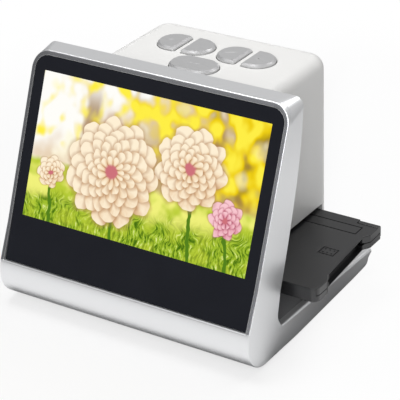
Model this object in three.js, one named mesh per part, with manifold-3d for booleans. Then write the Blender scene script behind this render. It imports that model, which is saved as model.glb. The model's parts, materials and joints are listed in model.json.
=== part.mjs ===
// Film negative scanner: a leaning display slab on a low base, a tower with the optics behind it,
// and a hinged film holder that slides through the tower from side to side.
// Millimetres, +Z up. The origin is on the ground under the middle of the whole object,
// the display faces -Y and the film holder slides along X.
import * as THREE from "three";
import { mergeVertices } from "three/addons/utils/BufferGeometryUtils.js";
import Module from "manifold-3d";

const wasm = await Module();
wasm.setup();

// Overall sizes
const bodyWidth = 125;
const bodyDepth = 104.2;
const bodyHeight = 106;
const undersideHeight = 1;
const wall = 2.2;
const gap = 0.3;
const overrun = 2;

// Leaning front: its plane meets the level of its foot line ahead of the body
const leanAngle = THREE.MathUtils.degToRad(21.75);
const leanFootAhead = 2.9;
const leanFootHeight = 8.7;

// Silver front frame
const noseRadius = 13.1;
const lipProud = 0.9;
const lipBlendLength = 17;
const frameChamfer = 0.5;
const frameCornerRadius = 8;
const slabTopDepth = 8.9;
const slabBackBendForward = 0.8;
const slabBackBendDrop = 26;
const slabFootDepth = 25.9;
const slabBackLow = 29;
const notchForward = 2.6;
const notchDrop = 11.5;
const notchRadius = 4.5;
const frameLedgeDepth = 3.6;
const rearWindowWidth = 78;
const rearWindowLow = 20;
const rearWindowBelowTop = 12;

// Front glass and display
const glassWidth = 121.1;
const glassLow = 13.1;
const frameAboveGlass = 2.35;
const glassThickness = 1.1;
const glassSetBack = 0.2;
const glassCornerRadius = 6;
const displayWidth = 118;
const displayLow = 27.5;
const displayBelowGlassTop = 3.1;
const displayThickness = 3;
const bracketThickness = 1;
const bracketLow = 18;
const driverBoardWidth = 56;
const driverBoardLow = 38;
const driverBoardHigh = 66;
const boardThickness = 1.6;

// Base
const seamBehindFront = 29.6;
const rimHeightFront = 12.4;
const rimHeightBack = 10.6;
const rimWidth = 3;
const tuckRadiusFront = 1.65;
const tuckRadiusBack = 6.5;
const baseCornerRadius = 5;
const baseFloor = 2.4;
const topPlateHeight = 9.4;
const topPlateThickness = 2;
const coverWidth = 87;
const coverAheadOfBack = 14.3;
const coverFrontInset = 6.3;
const coverThickness = 2;

// Feet
const footRadius = 4.5;
const footSpacing = 100;
const frontFootBehindFront = 21;
const backFootAheadOfBack = 9;

// Tower
const towerWidth = 84;
const towerHeight = 99.8;
const towerAheadOfBack = 1.6;
const towerTopRadius = 6;
const towerCornerRadius = 8;
const towerPostRadius = 3;
const towerPostTop = 20;
const towerPostInset = 4.8;
const towerPostBehindSeam = 5.5;
const towerPostAheadOfBack = 7;

// Film slot and film holder
const holderLength = 151.6;
const holderDepth = 61.5;
const holderThickness = 6.3;
const holderHeight = 30;
const holderAheadOfBack = 11.6;
const holderCornerRadius = 1.8;
const holderFrontRadius = 3;
const holderSplit = 2.9;
const slotBehindHolder = 2.5;
const slotAheadOfHolder = 1.3;
const slotAboveHolder = 1.4;
const frameWindowWidth = 36.5;
const frameWindowDepth = 24.5;
const filmWidth = 35;
const filmChannelDepth = 0.4;
const notchDepthFront = 2.3;
const notchDepthBack = 4.8;
const notchFront = 8.9;
const notchStep = 4.8;
const notchLength = 42.3;
const notchSlant = 3.2;
const hingeEndInset = 2.8;
const knuckleDepth = 3.3;
const knuckleLength = 12.8;
const hingePinRadius = 0.8;
const hingePinHeight = 1.7;

// Guides and light source
const guideThickness = 2;
const guideAboveHolder = 0.9;
const diffuserWidth = 40;
const diffuserDepth = 28;
const lightBoxWidth = 48;
const lightBoxDepth = 36;
const lightBoxBottom = 5.8;
const lightBoxWall = 2;
const lightBoxFlange = 3;
const ledBoardHeight = 8.2;

// Optics
const hoodWidth = 44;
const hoodDepth = 34;
const hoodHeight = 14.8;
const hoodWall = 2;
const hoodPostRadius = 2;
const hoodPostSpacing = 26;
const lensBarrelRadius = 7;
const lensBoreRadius = 5;
const lensBarrelLength = 16;
const lensBarrelDrop = 4;
const lensFlangeRadius = 10;
const lensFlangeThickness = 2;
const lensRadius = 4.7;
const lensRimThickness = 1.2;
const lensBulge = 0.9;
const sensorBoardSize = 32;
const sensorWidth = 7;
const sensorDepth = 6;
const sensorThickness = 1.2;

// Buttons, switches and their board
const buttonSpacing = 15;
const smallButtonWidth = 11.8;
const smallButtonLength = 15.6;
const buttonCornerRadius = 1;
const smallButtonsAheadOfBack = 23;
const wideButtonWidth = 22.4;
const wideButtonLength = 14.3;
const wideButtonAheadOfBack = 40.3;
const buttonProud = 1.6;
const buttonClearance = 0.35;
const buttonFlangeWidth = 0.8;
const buttonFlangeThickness = 1.1;
const buttonEdge = 0.6;
const buttonTravel = 0.8;
const plungerRadius = 1.6;
const plungerLength = 2.5;
const switchSize = 6;
const switchHeight = 3.3;
const keyBoardWidth = 66;
const keyBoardDepth = 41;
const keyBoardAheadOfBack = 9;
const keyPostRadius = 2.5;
const keyPostSpacing = 56;
const keyPostInset = 3;

// Main board, sockets and rear panel
const mainBoardLeft = 31;
const mainBoardLow = 36;
const mainBoardHigh = 87.6;
const mainBoardDepth = 52;
const mainBoardAheadOfBack = 4.2;
const usbHeight = 9;
const usbThickness = 3.2;
const usbDepth = 9;
const hdmiHeight = 11.2;
const hdmiThickness = 3.4;
const hdmiDepth = 7.4;
const cardSocketHeight = 26.8;
const cardSocketThickness = 3;
const cardSocketDepth = 28;
const socketSpacing = 1.6;
const socketWall = 0.4;
const mouthDepth = 6;
const panelWidth = 12;
const panelMargin = 3;
const panelThickness = 1.6;

// Cables and screws
const displayCableRadius = 1.5;
const levelShare = 0.35;
const turnShare = 0.73;
const lampCableRadius = 1;
const screwRadius = 0.8;
const screwHeadRadius = 1.9;
const screwHeadThickness = 1.4;
const screwClearance = 0.35;
const towerScrewLength = 10;
const coverScrewLength = 4.6;
const keyScrewLength = 5;
const coverScrewInset = 5.5;

// How finely round shapes are divided
const arcSteps = 5;
const roundSides = 20;
const fineSides = 28;
const cableSides = 8;
const cableSteps = 16;
const weldDistance = 0.001;

// Places that follow from the sizes
const frontY = -bodyDepth / 2;
const backY = bodyDepth / 2;
const sideX = bodyWidth / 2;
const seamY = frontY + seamBehindFront;
const towerBackY = backY - towerAheadOfBack;
const towerSideX = towerWidth / 2;
const towerInnerX = towerSideX - wall;
const towerFoot = topPlateHeight + gap;
const towerCeiling = towerHeight - wall;
const holderBackY = backY - holderAheadOfBack;
const holderFrontY = holderBackY - holderDepth;
const holderMiddleY = (holderBackY + holderFrontY) / 2;
const holderBottom = holderHeight - holderThickness;
const holderSeam = holderBottom + holderSplit;
const slotLow = holderBottom - gap;
const slotHigh = holderHeight + slotAboveHolder;
const slotFrontY = holderFrontY - slotAheadOfHolder;
const slotBackY = holderBackY + slotBehindHolder;
const frameInnerX = sideX - wall;
const baseFloorTop = undersideHeight + baseFloor;
const topPlateBottom = topPlateHeight - topPlateThickness;
const coverFrontY = seamY + coverFrontInset;
const coverBackY = backY - coverAheadOfBack;
const cutTop = bodyHeight + towerHeight;
const slabTopUp = (bodyHeight - leanFootHeight + frameChamfer * Math.sin(leanAngle)) / Math.cos(leanAngle);
const glassHigh = slabTopUp - frameAboveGlass;
const displayHigh = glassHigh - displayBelowGlassTop;

const scanner = new THREE.Group();
const slab = new THREE.Group();
slab.position.set(0, frontY - leanFootAhead, leanFootHeight);
slab.rotation.x = -leanAngle;
scanner.add(slab);
const holder = new THREE.Group();
scanner.add(holder);
scanner.updateMatrixWorld(true);

// Finishes
const silver = () => new THREE.MeshStandardMaterial({ color: 0xc9cacc, roughness: 0.35, metalness: 0.5 });
const white = () => new THREE.MeshStandardMaterial({ color: 0xf1efec, roughness: 0.5, metalness: 0 });
const darkPlastic = () => new THREE.MeshStandardMaterial({ color: 0x303134, roughness: 0.5, metalness: 0 });
const greyPlastic = () => new THREE.MeshStandardMaterial({ color: 0x55565a, roughness: 0.6, metalness: 0 });
const blackGlass = () => new THREE.MeshStandardMaterial({ color: 0x17181c, roughness: 0.08, metalness: 0 });
const buttonGrey = () => new THREE.MeshStandardMaterial({ color: 0xa9aaad, roughness: 0.4, metalness: 0.3 });
const rubber = () => new THREE.MeshStandardMaterial({ color: 0x1b1b1c, roughness: 0.9, metalness: 0 });
const steel = () => new THREE.MeshStandardMaterial({ color: 0xb5b8bb, roughness: 0.3, metalness: 1 });
const boardGreen = () => new THREE.MeshStandardMaterial({ color: 0x1d5a38, roughness: 0.6, metalness: 0 });
const clearGlass = () => new THREE.MeshStandardMaterial({ color: 0xdfe8ee, roughness: 0.05, metalness: 0 });
const opal = () => new THREE.MeshStandardMaterial({ color: 0xf7f7f2, roughness: 0.7, metalness: 0 });

// Adds one named piece to a group.
function add(name, geometry, material, parent = scanner) {
  const mesh = new THREE.Mesh(geometry, material);
  mesh.name = name;
  parent.add(mesh);
  return mesh;
}

// Adds a plain block between two corners.
function addBlock(name, low, high, material, parent = scanner) {
  const size = high.map((value, axis) => value - low[axis]);
  const mesh = add(name, new THREE.BoxGeometry(...size), material, parent);
  mesh.position.set(...low.map((value, axis) => (value + high[axis]) / 2));
  return mesh;
}

// Turns a closed geometry into a solid that can be cut and joined.
function solidOf(geometry) {
  const plain = geometry.index ? geometry.toNonIndexed() : geometry.clone();
  plain.deleteAttribute("normal");
  plain.deleteAttribute("uv");
  const merged = mergeVertices(plain, weldDistance);
  return new wasm.Manifold(
    new wasm.Mesh({
      numProp: 3,
      vertProperties: merged.attributes.position.array,
      triVerts: new Uint32Array(merged.index.array),
    }),
  );
}

// Turns a solid back into a geometry with flat shading.
function geometryOf(solid) {
  const mesh = solid.getMesh();
  const geometry = new THREE.BufferGeometry();
  geometry.setAttribute("position", new THREE.BufferAttribute(mesh.vertProperties, 3));
  geometry.setIndex(new THREE.BufferAttribute(mesh.triVerts, 1));
  const faceted = geometry.toNonIndexed();
  faceted.computeVertexNormals();
  return faceted;
}

// Joins solids into one.
function joined(...solids) {
  return solids.reduce((whole, solid) => whole.add(solid));
}

// Cuts the later solids out of the first.
function cut(solid, ...tools) {
  return tools.reduce((rest, tool) => rest.subtract(tool), solid);
}

// A block between two corners, as a solid.
function block(low, high) {
  const size = high.map((value, axis) => value - low[axis]);
  const geometry = new THREE.BoxGeometry(...size);
  geometry.translate(...low.map((value, axis) => (value + high[axis]) / 2));
  return solidOf(geometry);
}

// The ways an outline can face: which world axis its own x, y and depth run along.
const facing = {
  x: new THREE.Matrix4().makeBasis(
    new THREE.Vector3(0, 1, 0), new THREE.Vector3(0, 0, 1), new THREE.Vector3(1, 0, 0)),
  y: new THREE.Matrix4().makeBasis(
    new THREE.Vector3(1, 0, 0), new THREE.Vector3(0, 0, 1), new THREE.Vector3(0, -1, 0)),
  z: new THREE.Matrix4(),
};

// Extrudes an outline from one place to another along an axis, with an optional chamfer at both ends.
function prism(axis, outline, from, to, chamfer = 0) {
  const low = axis === "y" ? -to : from;
  const length = to - from;
  const geometry = new THREE.ExtrudeGeometry(new THREE.Shape(outline), {
    depth: length - 2 * chamfer,
    bevelEnabled: chamfer > 0,
    bevelThickness: chamfer,
    bevelSize: chamfer,
    bevelOffset: -chamfer,
    bevelSegments: 1,
    steps: 1,
  });
  geometry.translate(0, 0, low + chamfer);
  return geometry.applyMatrix4(facing[axis]);
}

// An upright round rod between two heights.
function rod(radius, x, y, low, high, sides = roundSides) {
  const geometry = new THREE.CylinderGeometry(radius, radius, high - low, sides);
  geometry.rotateX(Math.PI / 2);
  geometry.translate(x, y, (low + high) / 2);
  return geometry;
}

// Points of a closed outline through corners of the form [x, y, radius], each rounded by its radius.
function rounded(corners) {
  const points = [];
  corners.forEach(([x, y, radius = 0], index) => {
    const corner = new THREE.Vector2(x, y);
    if (radius <= 0) {
      points.push(corner);
      return;
    }
    const [lastX, lastY] = corners[(index + corners.length - 1) % corners.length];
    const [nextX, nextY] = corners[(index + 1) % corners.length];
    const toLast = new THREE.Vector2(lastX, lastY).sub(corner).normalize();
    const toNext = new THREE.Vector2(nextX, nextY).sub(corner).normalize();
    const half = Math.acos(THREE.MathUtils.clamp(toLast.dot(toNext), -1, 1)) / 2;
    const middle = toLast.clone().add(toNext).normalize();
    const centre = corner.clone().addScaledVector(middle, radius / Math.sin(half));
    const start = corner.clone().addScaledVector(toLast, radius / Math.tan(half)).sub(centre);
    const end = corner.clone().addScaledVector(toNext, radius / Math.tan(half)).sub(centre);
    const from = Math.atan2(start.y, start.x);
    const turn = Math.atan2(start.x * end.y - start.y * end.x, start.dot(end));
    for (let step = 0; step <= arcSteps; step++) {
      const angle = from + (turn * step) / arcSteps;
      points.push(new THREE.Vector2(Math.cos(angle), Math.sin(angle)).multiplyScalar(radius).add(centre));
    }
  });
  return points;
}

// A rectangle about a centre with all corners rounded alike.
function roundedRectangle(centreX, centreY, width, height, radius) {
  const x = width / 2;
  const y = height / 2;
  return rounded([[-x, -y], [x, -y], [x, y], [-x, y]]
    .map(([cornerX, cornerY]) => [centreX + cornerX, centreY + cornerY, radius]));
}

// A closed skin through counter-clockwise rings of points, one above the other, with flat ends.
function loft(axis, rings) {
  const count = rings[0].outline.length;
  const positions = [];
  const point = (ring, index) => {
    const { outline, height } = rings[ring];
    return [outline[index % count].x, outline[index % count].y, height];
  };
  for (let ring = 0; ring + 1 < rings.length; ring++) {
    for (let index = 0; index < count; index++) {
      const lower = point(ring, index);
      const lowerNext = point(ring, index + 1);
      const upper = point(ring + 1, index);
      const upperNext = point(ring + 1, index + 1);
      positions.push(...lower, ...lowerNext, ...upper, ...lowerNext, ...upperNext, ...upper);
    }
  }
  const last = rings.length - 1;
  for (const [a, b, c] of THREE.ShapeUtils.triangulateShape(rings[0].outline, [])) {
    positions.push(...point(0, c), ...point(0, b), ...point(0, a));
  }
  for (const [a, b, c] of THREE.ShapeUtils.triangulateShape(rings[last].outline, [])) {
    positions.push(...point(last, a), ...point(last, b), ...point(last, c));
  }
  const geometry = new THREE.BufferGeometry();
  geometry.setAttribute("position", new THREE.Float32BufferAttribute(positions, 3));
  geometry.computeVertexNormals();
  return geometry.applyMatrix4(facing[axis]);
}

// A place on the leaning slab, in the side view: up its slope and back from its front plane.
function onSlab(up, back) {
  return [
    frontY - leanFootAhead + up * Math.sin(leanAngle) + back * Math.cos(leanAngle),
    leanFootHeight + up * Math.cos(leanAngle) - back * Math.sin(leanAngle),
  ];
}

// A solid given in the slab's own directions, placed in the body.
function placedOnSlab(geometry) {
  return solidOf(geometry.clone().applyMatrix4(slab.matrixWorld));
}

// The slab's back, from its top down to the notch, moved back by an offset.
function slabBack(offset, low = slabBackLow, high = bodyHeight) {
  const topY = onSlab(slabTopUp, frameChamfer)[0] + slabTopDepth;
  const curve = new THREE.QuadraticBezierCurve(
    new THREE.Vector2(topY, bodyHeight),
    new THREE.Vector2(topY - slabBackBendForward, bodyHeight - slabBackBendDrop),
    new THREE.Vector2(frontY + slabFootDepth, slabBackLow),
  );
  return curve.getPoints(2 * arcSteps)
    .filter((point) => point.y > low - weldDistance && point.y < high + weldDistance)
    .map((point) => [point.x + offset, point.y]);
}

// Silver front frame: the slab, its rounded nose and the foot under it
function makeFrontFrame() {
  const noseY = frontY + noseRadius;
  const noseHeight = undersideHeight + noseRadius;
  const nose = (radius) => {
    const points = [];
    for (let step = 0; step <= 2 * arcSteps; step++) {
      const angle = -Math.PI / 2 - (Math.PI / 2) * (step / (2 * arcSteps));
      points.push([noseY + radius * Math.cos(angle), noseHeight + radius * Math.sin(angle)]);
    }
    return points;
  };
  const seatLow = glassLow - gap;
  const seatHigh = glassHigh + gap;
  const lip = onSlab(seatLow, -lipProud);
  const [slabEndY, slabEnd] = slabBack(0).at(-1);
  const notchY = slabEndY - notchForward;
  const notchHeight = slabEnd - notchDrop;
  const outline = rounded([
    [seamY - gap / 2, undersideHeight],
    ...nose(noseRadius),
    lip,
    onSlab(seatLow + lipBlendLength, 0),
    onSlab(seatHigh, 0),
    onSlab(slabTopUp, frameChamfer),
    ...slabBack(0),
    [notchY, notchHeight, notchRadius],
    [notchY + notchForward, rimHeightFront, notchRadius / 2],
    [seamY - gap / 2, rimHeightFront],
  ]);
  const corners = rounded([
    [-sideX, undersideHeight, tuckRadiusFront],
    [sideX, undersideHeight, tuckRadiusFront],
    [sideX, bodyHeight, frameCornerRadius],
    [-sideX, bodyHeight, frameCornerRadius],
  ]);
  const outside = solidOf(prism("x", outline, -sideX, sideX, frameChamfer))
    .intersect(solidOf(prism("y", corners, frontY - overrun, backY)));
  const ledgeTop = onSlab(seatHigh - wall, frameLedgeDepth);
  const inside = rounded([
    [seamY + overrun, undersideHeight + wall],
    ...nose(noseRadius - wall),
    onSlab(seatLow, frameLedgeDepth),
    ledgeTop,
    ...slabBack(-wall, slabBackLow, ledgeTop[1]),
    [notchY - wall, notchHeight, notchRadius],
    [notchY + notchForward - wall, rimHeightFront - wall],
    [seamY + overrun, rimHeightFront - wall],
  ]);
  const windowHigh = bodyHeight - rearWindowBelowTop;
  const window = rounded([
    ...slabBack(overrun, rearWindowLow, windowHigh),
    ...slabBack(-wall - overrun, rearWindowLow, windowHigh).reverse(),
  ]);
  const windowX = rearWindowWidth / 2;
  const seatX = glassWidth / 2 + gap;
  const seatOutline = rounded([
    [-seatX, seatLow],
    [seatX, seatLow],
    [seatX, seatHigh, glassCornerRadius],
    [-seatX, seatHigh, glassCornerRadius],
  ]);
  const seatDepth = glassSetBack + glassThickness + gap;
  const displayX = displayWidth / 2 + gap;
  const displayOutline = rounded([
    [-displayX, displayLow - gap],
    [displayX, displayLow - gap],
    [displayX, displayHigh + gap],
    [-displayX, displayHigh + gap],
  ]);
  const shell = cut(
    outside,
    solidOf(prism("x", inside, -frameInnerX, frameInnerX)),
    solidOf(prism("x", window, -windowX, windowX)),
    placedOnSlab(prism("y", seatOutline, -overrun, seatDepth)),
    placedOnSlab(prism("y", displayOutline, -overrun, frameLedgeDepth + overrun)),
  );
  add("front_frame", geometryOf(shell), silver());
}

// Front glass, and the display with its bracket and driver board behind it
function makeDisplay() {
  const glassX = glassWidth / 2;
  const glassOutline = rounded([
    [-glassX, glassLow],
    [glassX, glassLow],
    [glassX, glassHigh, glassCornerRadius],
    [-glassX, glassHigh, glassCornerRadius],
  ]);
  const glass = prism("y", glassOutline, 0, glassThickness);
  add("front_glass", glass, blackGlass(), slab).position.y = glassSetBack;
  const displayFront = glassSetBack + glassThickness + gap;
  const displayBack = displayFront + displayThickness;
  const displayX = displayWidth / 2;
  addBlock("display_module", [-displayX, displayFront, displayLow],
    [displayX, displayBack, displayHigh], darkPlastic(), slab);
  const bracketFront = displayBack + gap;
  const bracketBack = bracketFront + bracketThickness;
  const bracketX = frameInnerX - gap;
  addBlock("display_bracket", [-bracketX, bracketFront, bracketLow],
    [bracketX, bracketBack, displayHigh - wall], steel(), slab);
  const driverX = driverBoardWidth / 2;
  addBlock("display_driver_board", [-driverX, bracketBack + gap, driverBoardLow],
    [driverX, bracketBack + gap + boardThickness, driverBoardHigh], boardGreen(), slab);
}

// Base shell with its rim, the plate sunk in it and the bottom cover
function makeBase() {
  const startY = seamY + gap / 2;
  const sections = 6;
  const rings = [];
  for (let step = 0; step <= sections; step++) {
    const share = step / sections;
    const y = backY + (startY - backY) * share;
    const rim = rimHeightBack + (rimHeightFront - rimHeightBack) * share;
    const tuck = tuckRadiusBack + (tuckRadiusFront - tuckRadiusBack) * share;
    rings.push({
      height: -y,
      outline: rounded([
        [-sideX, undersideHeight, tuck],
        [sideX, undersideHeight, tuck],
        [sideX, rim],
        [-sideX, rim],
      ]),
    });
  }
  const plan = rounded([
    [-sideX, startY],
    [sideX, startY],
    [sideX, backY, baseCornerRadius],
    [-sideX, backY, baseCornerRadius],
  ]);
  const outside = solidOf(loft("y", rings))
    .intersect(solidOf(prism("z", plan, -overrun, cutTop)));
  const innerX = sideX - rimWidth;
  const innerBackY = backY - rimWidth;
  const insidePlan = rounded([
    [-innerX, startY - overrun],
    [innerX, startY - overrun],
    [innerX, innerBackY, baseCornerRadius - rimWidth],
    [-innerX, innerBackY, baseCornerRadius - rimWidth],
  ]);
  const coverX = coverWidth / 2;
  const shell = cut(
    outside,
    solidOf(prism("z", insidePlan, baseFloorTop, cutTop)),
    block([-coverX - gap, coverFrontY - gap, -overrun],
      [coverX + gap, coverBackY + gap, baseFloorTop + overrun]),
  );
  add("base_shell", geometryOf(shell), silver());

  const plateX = innerX - gap;
  const platePlan = rounded([
    [-plateX, startY + gap],
    [plateX, startY + gap],
    [plateX, innerBackY - gap, baseCornerRadius - rimWidth],
    [-plateX, innerBackY - gap, baseCornerRadius - rimWidth],
  ]);
  const lightX = lightBoxWidth / 2 + gap;
  const lightY = lightBoxDepth / 2 + gap;
  let plate = cut(
    solidOf(prism("z", platePlan, topPlateBottom, topPlateHeight)),
    block([-lightX, holderMiddleY - lightY, 0], [lightX, holderMiddleY + lightY, cutTop]),
  );
  const holeRadius = screwRadius + screwClearance;
  for (const [x, y] of towerScrewPlaces()) {
    plate = cut(plate, solidOf(rod(holeRadius, x, y, 0, cutTop)));
  }
  const bossBottom = undersideHeight + coverThickness + gap;
  for (const [x, y] of coverScrewPlaces()) {
    plate = joined(plate, solidOf(rod(towerPostRadius, x, y, bossBottom, topPlateHeight)));
    plate = cut(plate, solidOf(rod(holeRadius, x, y, 0, topPlateBottom)));
  }
  add("base_top_plate", geometryOf(plate), greyPlastic());

  let cover = block([-coverX, coverFrontY, undersideHeight],
    [coverX, coverBackY, undersideHeight + coverThickness]);
  for (const [x, y] of coverScrewPlaces()) {
    const sunk = undersideHeight + screwHeadThickness + gap;
    cover = cut(
      cover,
      solidOf(rod(holeRadius, x, y, 0, cutTop)),
      solidOf(rod(screwHeadRadius + screwClearance, x, y, 0, sunk)),
    );
  }
  add("bottom_cover", geometryOf(cover), darkPlastic());
}

// Where the four screws of the bottom cover go
function coverScrewPlaces() {
  const x = coverWidth / 2 - coverScrewInset;
  return [
    [-x, coverFrontY + coverScrewInset],
    [x, coverFrontY + coverScrewInset],
    [-x, coverBackY - coverScrewInset],
    [x, coverBackY - coverScrewInset],
  ];
}

// Where the four screws that hold the tower go
function towerScrewPlaces() {
  const x = towerSideX - towerPostInset;
  const nearY = seamY + towerPostBehindSeam;
  const farY = towerBackY - towerPostAheadOfBack;
  return [
    [-x, nearY],
    [x, nearY],
    [-x, farY],
    [x, farY],
  ];
}

// Where the two screws and the two plain posts of the button board go
function keyPostPlaces() {
  const x = keyPostSpacing / 2;
  const y = towerBackY - keyBoardAheadOfBack;
  return [
    [-x, y - keyPostInset],
    [x, y - keyPostInset],
    [-x, y - keyBoardDepth + keyPostInset],
    [x, y - keyBoardDepth + keyPostInset],
  ];
}

// Rubber feet
function makeFeet() {
  const x = footSpacing / 2;
  const places = [
    [-x, frontY + frontFootBehindFront],
    [x, frontY + frontFootBehindFront],
    [-x, backY - backFootAheadOfBack],
    [x, backY - backFootAheadOfBack],
  ];
  places.forEach(([footX, footY], index) => {
    const height = undersideHeight - gap;
    const foot = new THREE.CylinderGeometry(footRadius, footRadius, height, roundSides);
    const mesh = add("foot_" + (index + 1), foot, rubber());
    mesh.rotation.x = Math.PI / 2;
    mesh.position.set(footX, footY, height / 2);
  });
}

// A screw with its head down and its tip up, standing on the origin.
function screwGeometry(length) {
  const profile = [
    [0, 0],
    [screwHeadRadius, 0],
    [screwHeadRadius, screwHeadThickness],
    [screwRadius, screwHeadThickness],
    [screwRadius, screwHeadThickness + length - screwRadius],
    [0, screwHeadThickness + length],
  ].map(([x, y]) => new THREE.Vector2(x, y));
  const geometry = new THREE.LatheGeometry(profile, cableSides + arcSteps - 1);
  geometry.rotateX(Math.PI / 2);
  return geometry;
}

// Screws of the tower, the bottom cover and the button board
function makeScrews() {
  const sets = [
    ["tower_screw_", towerScrewPlaces(), towerScrewLength, topPlateBottom - gap - screwHeadThickness],
    ["cover_screw_", coverScrewPlaces(), coverScrewLength, undersideHeight],
    ["key_board_screw_", keyPostPlaces().slice(0, 2), keyScrewLength,
      keyBoardBottom - gap - screwHeadThickness],
  ];
  for (const [name, places, length, height] of sets) {
    places.forEach(([x, y], index) => {
      add(name + (index + 1), screwGeometry(length), steel()).position.set(x, y, height);
    });
  }
}

// The buttons' places, seen from above, and which way each flat side faces
const keyRowY = towerBackY - smallButtonsAheadOfBack;
const wideButtonY = towerBackY - wideButtonAheadOfBack;
const buttons = [
  { name: "button_1", x: -1.5 * buttonSpacing, y: keyRowY, flat: 1 },
  { name: "button_2", x: -0.5 * buttonSpacing, y: keyRowY, flat: -1 },
  { name: "button_3", x: 0.5 * buttonSpacing, y: keyRowY, flat: 1 },
  { name: "button_4", x: 1.5 * buttonSpacing, y: keyRowY, flat: -1 },
  { name: "button_5", x: 0, y: wideButtonY, flat: 0 },
];

// Heights of the button stack, from the caps down to their board
const flangeTop = towerCeiling - gap;
const flangeBottom = flangeTop - buttonFlangeThickness;
const plungerTop = flangeBottom - gap;
const plungerBottom = plungerTop - plungerLength;
const switchBottom = plungerBottom - buttonTravel - gap - socketWall * 2;
const switchTop = switchBottom + switchHeight;
const keyBoardTop = switchBottom - gap;
const keyBoardBottom = keyBoardTop - boardThickness;

// A button's outline, grown by a margin: a D with its flat side to one side, or a long round one.
function buttonOutline({ x, y, flat }, margin) {
  if (flat === 0) {
    const length = wideButtonLength + 2 * margin;
    return roundedRectangle(x, y, wideButtonWidth + 2 * margin, length, length / 2 - weldDistance);
  }
  const halfWidth = smallButtonWidth / 2 + margin;
  const halfLength = smallButtonLength / 2 + margin;
  const round = halfLength - weldDistance;
  const corners = [
    [x - flat * halfWidth, y - halfLength, round],
    [x + flat * halfWidth, y - halfLength, buttonCornerRadius],
    [x + flat * halfWidth, y + halfLength, buttonCornerRadius],
    [x - flat * halfWidth, y + halfLength, round],
  ];
  return rounded(flat > 0 ? corners : corners.reverse());
}

// Button caps with their flanges, the plungers under them and the switches on the board
function makeButtons() {
  for (const button of buttons) {
    const topHeight = towerHeight + buttonProud;
    const body = loft("z", [
      { outline: buttonOutline(button, 0), height: flangeTop - gap },
      { outline: buttonOutline(button, 0), height: topHeight - buttonEdge },
      { outline: buttonOutline(button, -buttonEdge), height: topHeight },
    ]);
    const flange = prism("z", buttonOutline(button, buttonFlangeWidth), flangeBottom, flangeTop);
    add(button.name, geometryOf(joined(solidOf(body), solidOf(flange))), buttonGrey());

    const plunger = new THREE.CylinderGeometry(plungerRadius, plungerRadius, plungerLength, roundSides);
    const plungerMesh = add(button.name + "_plunger", plunger, darkPlastic());
    plungerMesh.rotation.x = Math.PI / 2;
    plungerMesh.position.set(button.x, button.y, (plungerTop + plungerBottom) / 2);

    const half = switchSize / 2;
    const wellBottom = plungerBottom - buttonTravel - gap;
    const housing = cut(
      block([button.x - half, button.y - half, switchBottom],
        [button.x + half, button.y + half, switchTop]),
      solidOf(rod(plungerRadius + gap, button.x, button.y, wellBottom, cutTop)),
    );
    add(button.name + "_switch", geometryOf(housing), steel());
  }
  const boardX = keyBoardWidth / 2;
  const boardBackY = towerBackY - keyBoardAheadOfBack;
  let board = block([-boardX, boardBackY - keyBoardDepth, keyBoardBottom],
    [boardX, boardBackY, keyBoardTop]);
  for (const [x, y] of keyPostPlaces().slice(0, 2)) {
    board = cut(board, solidOf(rod(screwRadius + screwClearance, x, y, 0, cutTop)));
  }
  add("key_board", geometryOf(board), boardGreen());
}

// The tower's outside form, or the room inside it, inset by a wall
function towerForm(inset) {
  const rings = [{ height: inset > 0 ? -overrun : towerFoot, drawnIn: 0 }];
  const radius = towerTopRadius - inset;
  const top = towerHeight - inset;
  for (let step = 0; step <= arcSteps; step++) {
    const angle = (Math.PI / 2) * (step / arcSteps);
    rings.push({
      height: top - radius + radius * Math.sin(angle),
      drawnIn: radius * (1 - Math.cos(angle)),
    });
  }
  return solidOf(loft("z", rings.map(({ height, drawnIn }) => {
    const x = towerSideX - inset - drawnIn;
    const y = towerBackY - inset - drawnIn;
    const corner = towerCornerRadius - inset - drawnIn;
    return { height, outline: rounded([[-x, frontY], [x, frontY], [x, y, corner], [-x, y, corner]]) };
  })));
}

// White tower housing, open below and towards the slab, with the film slot through both sides
function makeTower() {
  const ahead = frontY - overrun;
  const kneeHeight = slotLow - wall;
  const front = rounded([
    [ahead, cutTop],
    [ahead, -overrun],
    [seamY + gap * 2, -overrun],
    [seamY + gap * 2, kneeHeight - notchRadius],
    ...slabBack(gap).reverse(),
    [slabBack(gap)[0][0], cutTop],
  ]);
  let tower = cut(
    towerForm(0),
    towerForm(wall),
    solidOf(prism("x", front, -sideX, sideX)),
    block([-sideX, slotFrontY, slotLow], [sideX, slotBackY, slotHigh]),
    block([-sideX, backY - rimWidth - gap, 0], [sideX, backY, rimHeightBack + gap]),
  );
  const holeRadius = screwRadius + screwClearance;
  for (const [x, y] of towerScrewPlaces()) {
    tower = joined(tower, solidOf(rod(towerPostRadius, x, y, towerFoot, towerPostTop)));
    tower = cut(tower, solidOf(rod(holeRadius, x, y, 0, towerFoot + towerScrewLength)));
  }
  keyPostPlaces().forEach(([x, y], index) => {
    const post = rod(keyPostRadius, x, y, keyBoardTop + gap, towerHeight - wall / 2);
    tower = joined(tower, solidOf(post));
    if (index < 2) {
      tower = cut(tower, solidOf(rod(holeRadius, x, y, 0, keyBoardTop + keyScrewLength)));
    }
  });
  for (const button of buttons) {
    const holeOutline = buttonOutline(button, buttonClearance);
    tower = cut(tower, solidOf(prism("z", holeOutline, towerCeiling - overrun, cutTop)));
  }
  const { low, high, left, right } = panelPlace();
  tower = cut(tower, block([left - gap, towerBackY - wall - overrun, low - gap],
    [right + gap, backY, high + gap]));
  add("tower_housing", geometryOf(tower), white());
}

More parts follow.
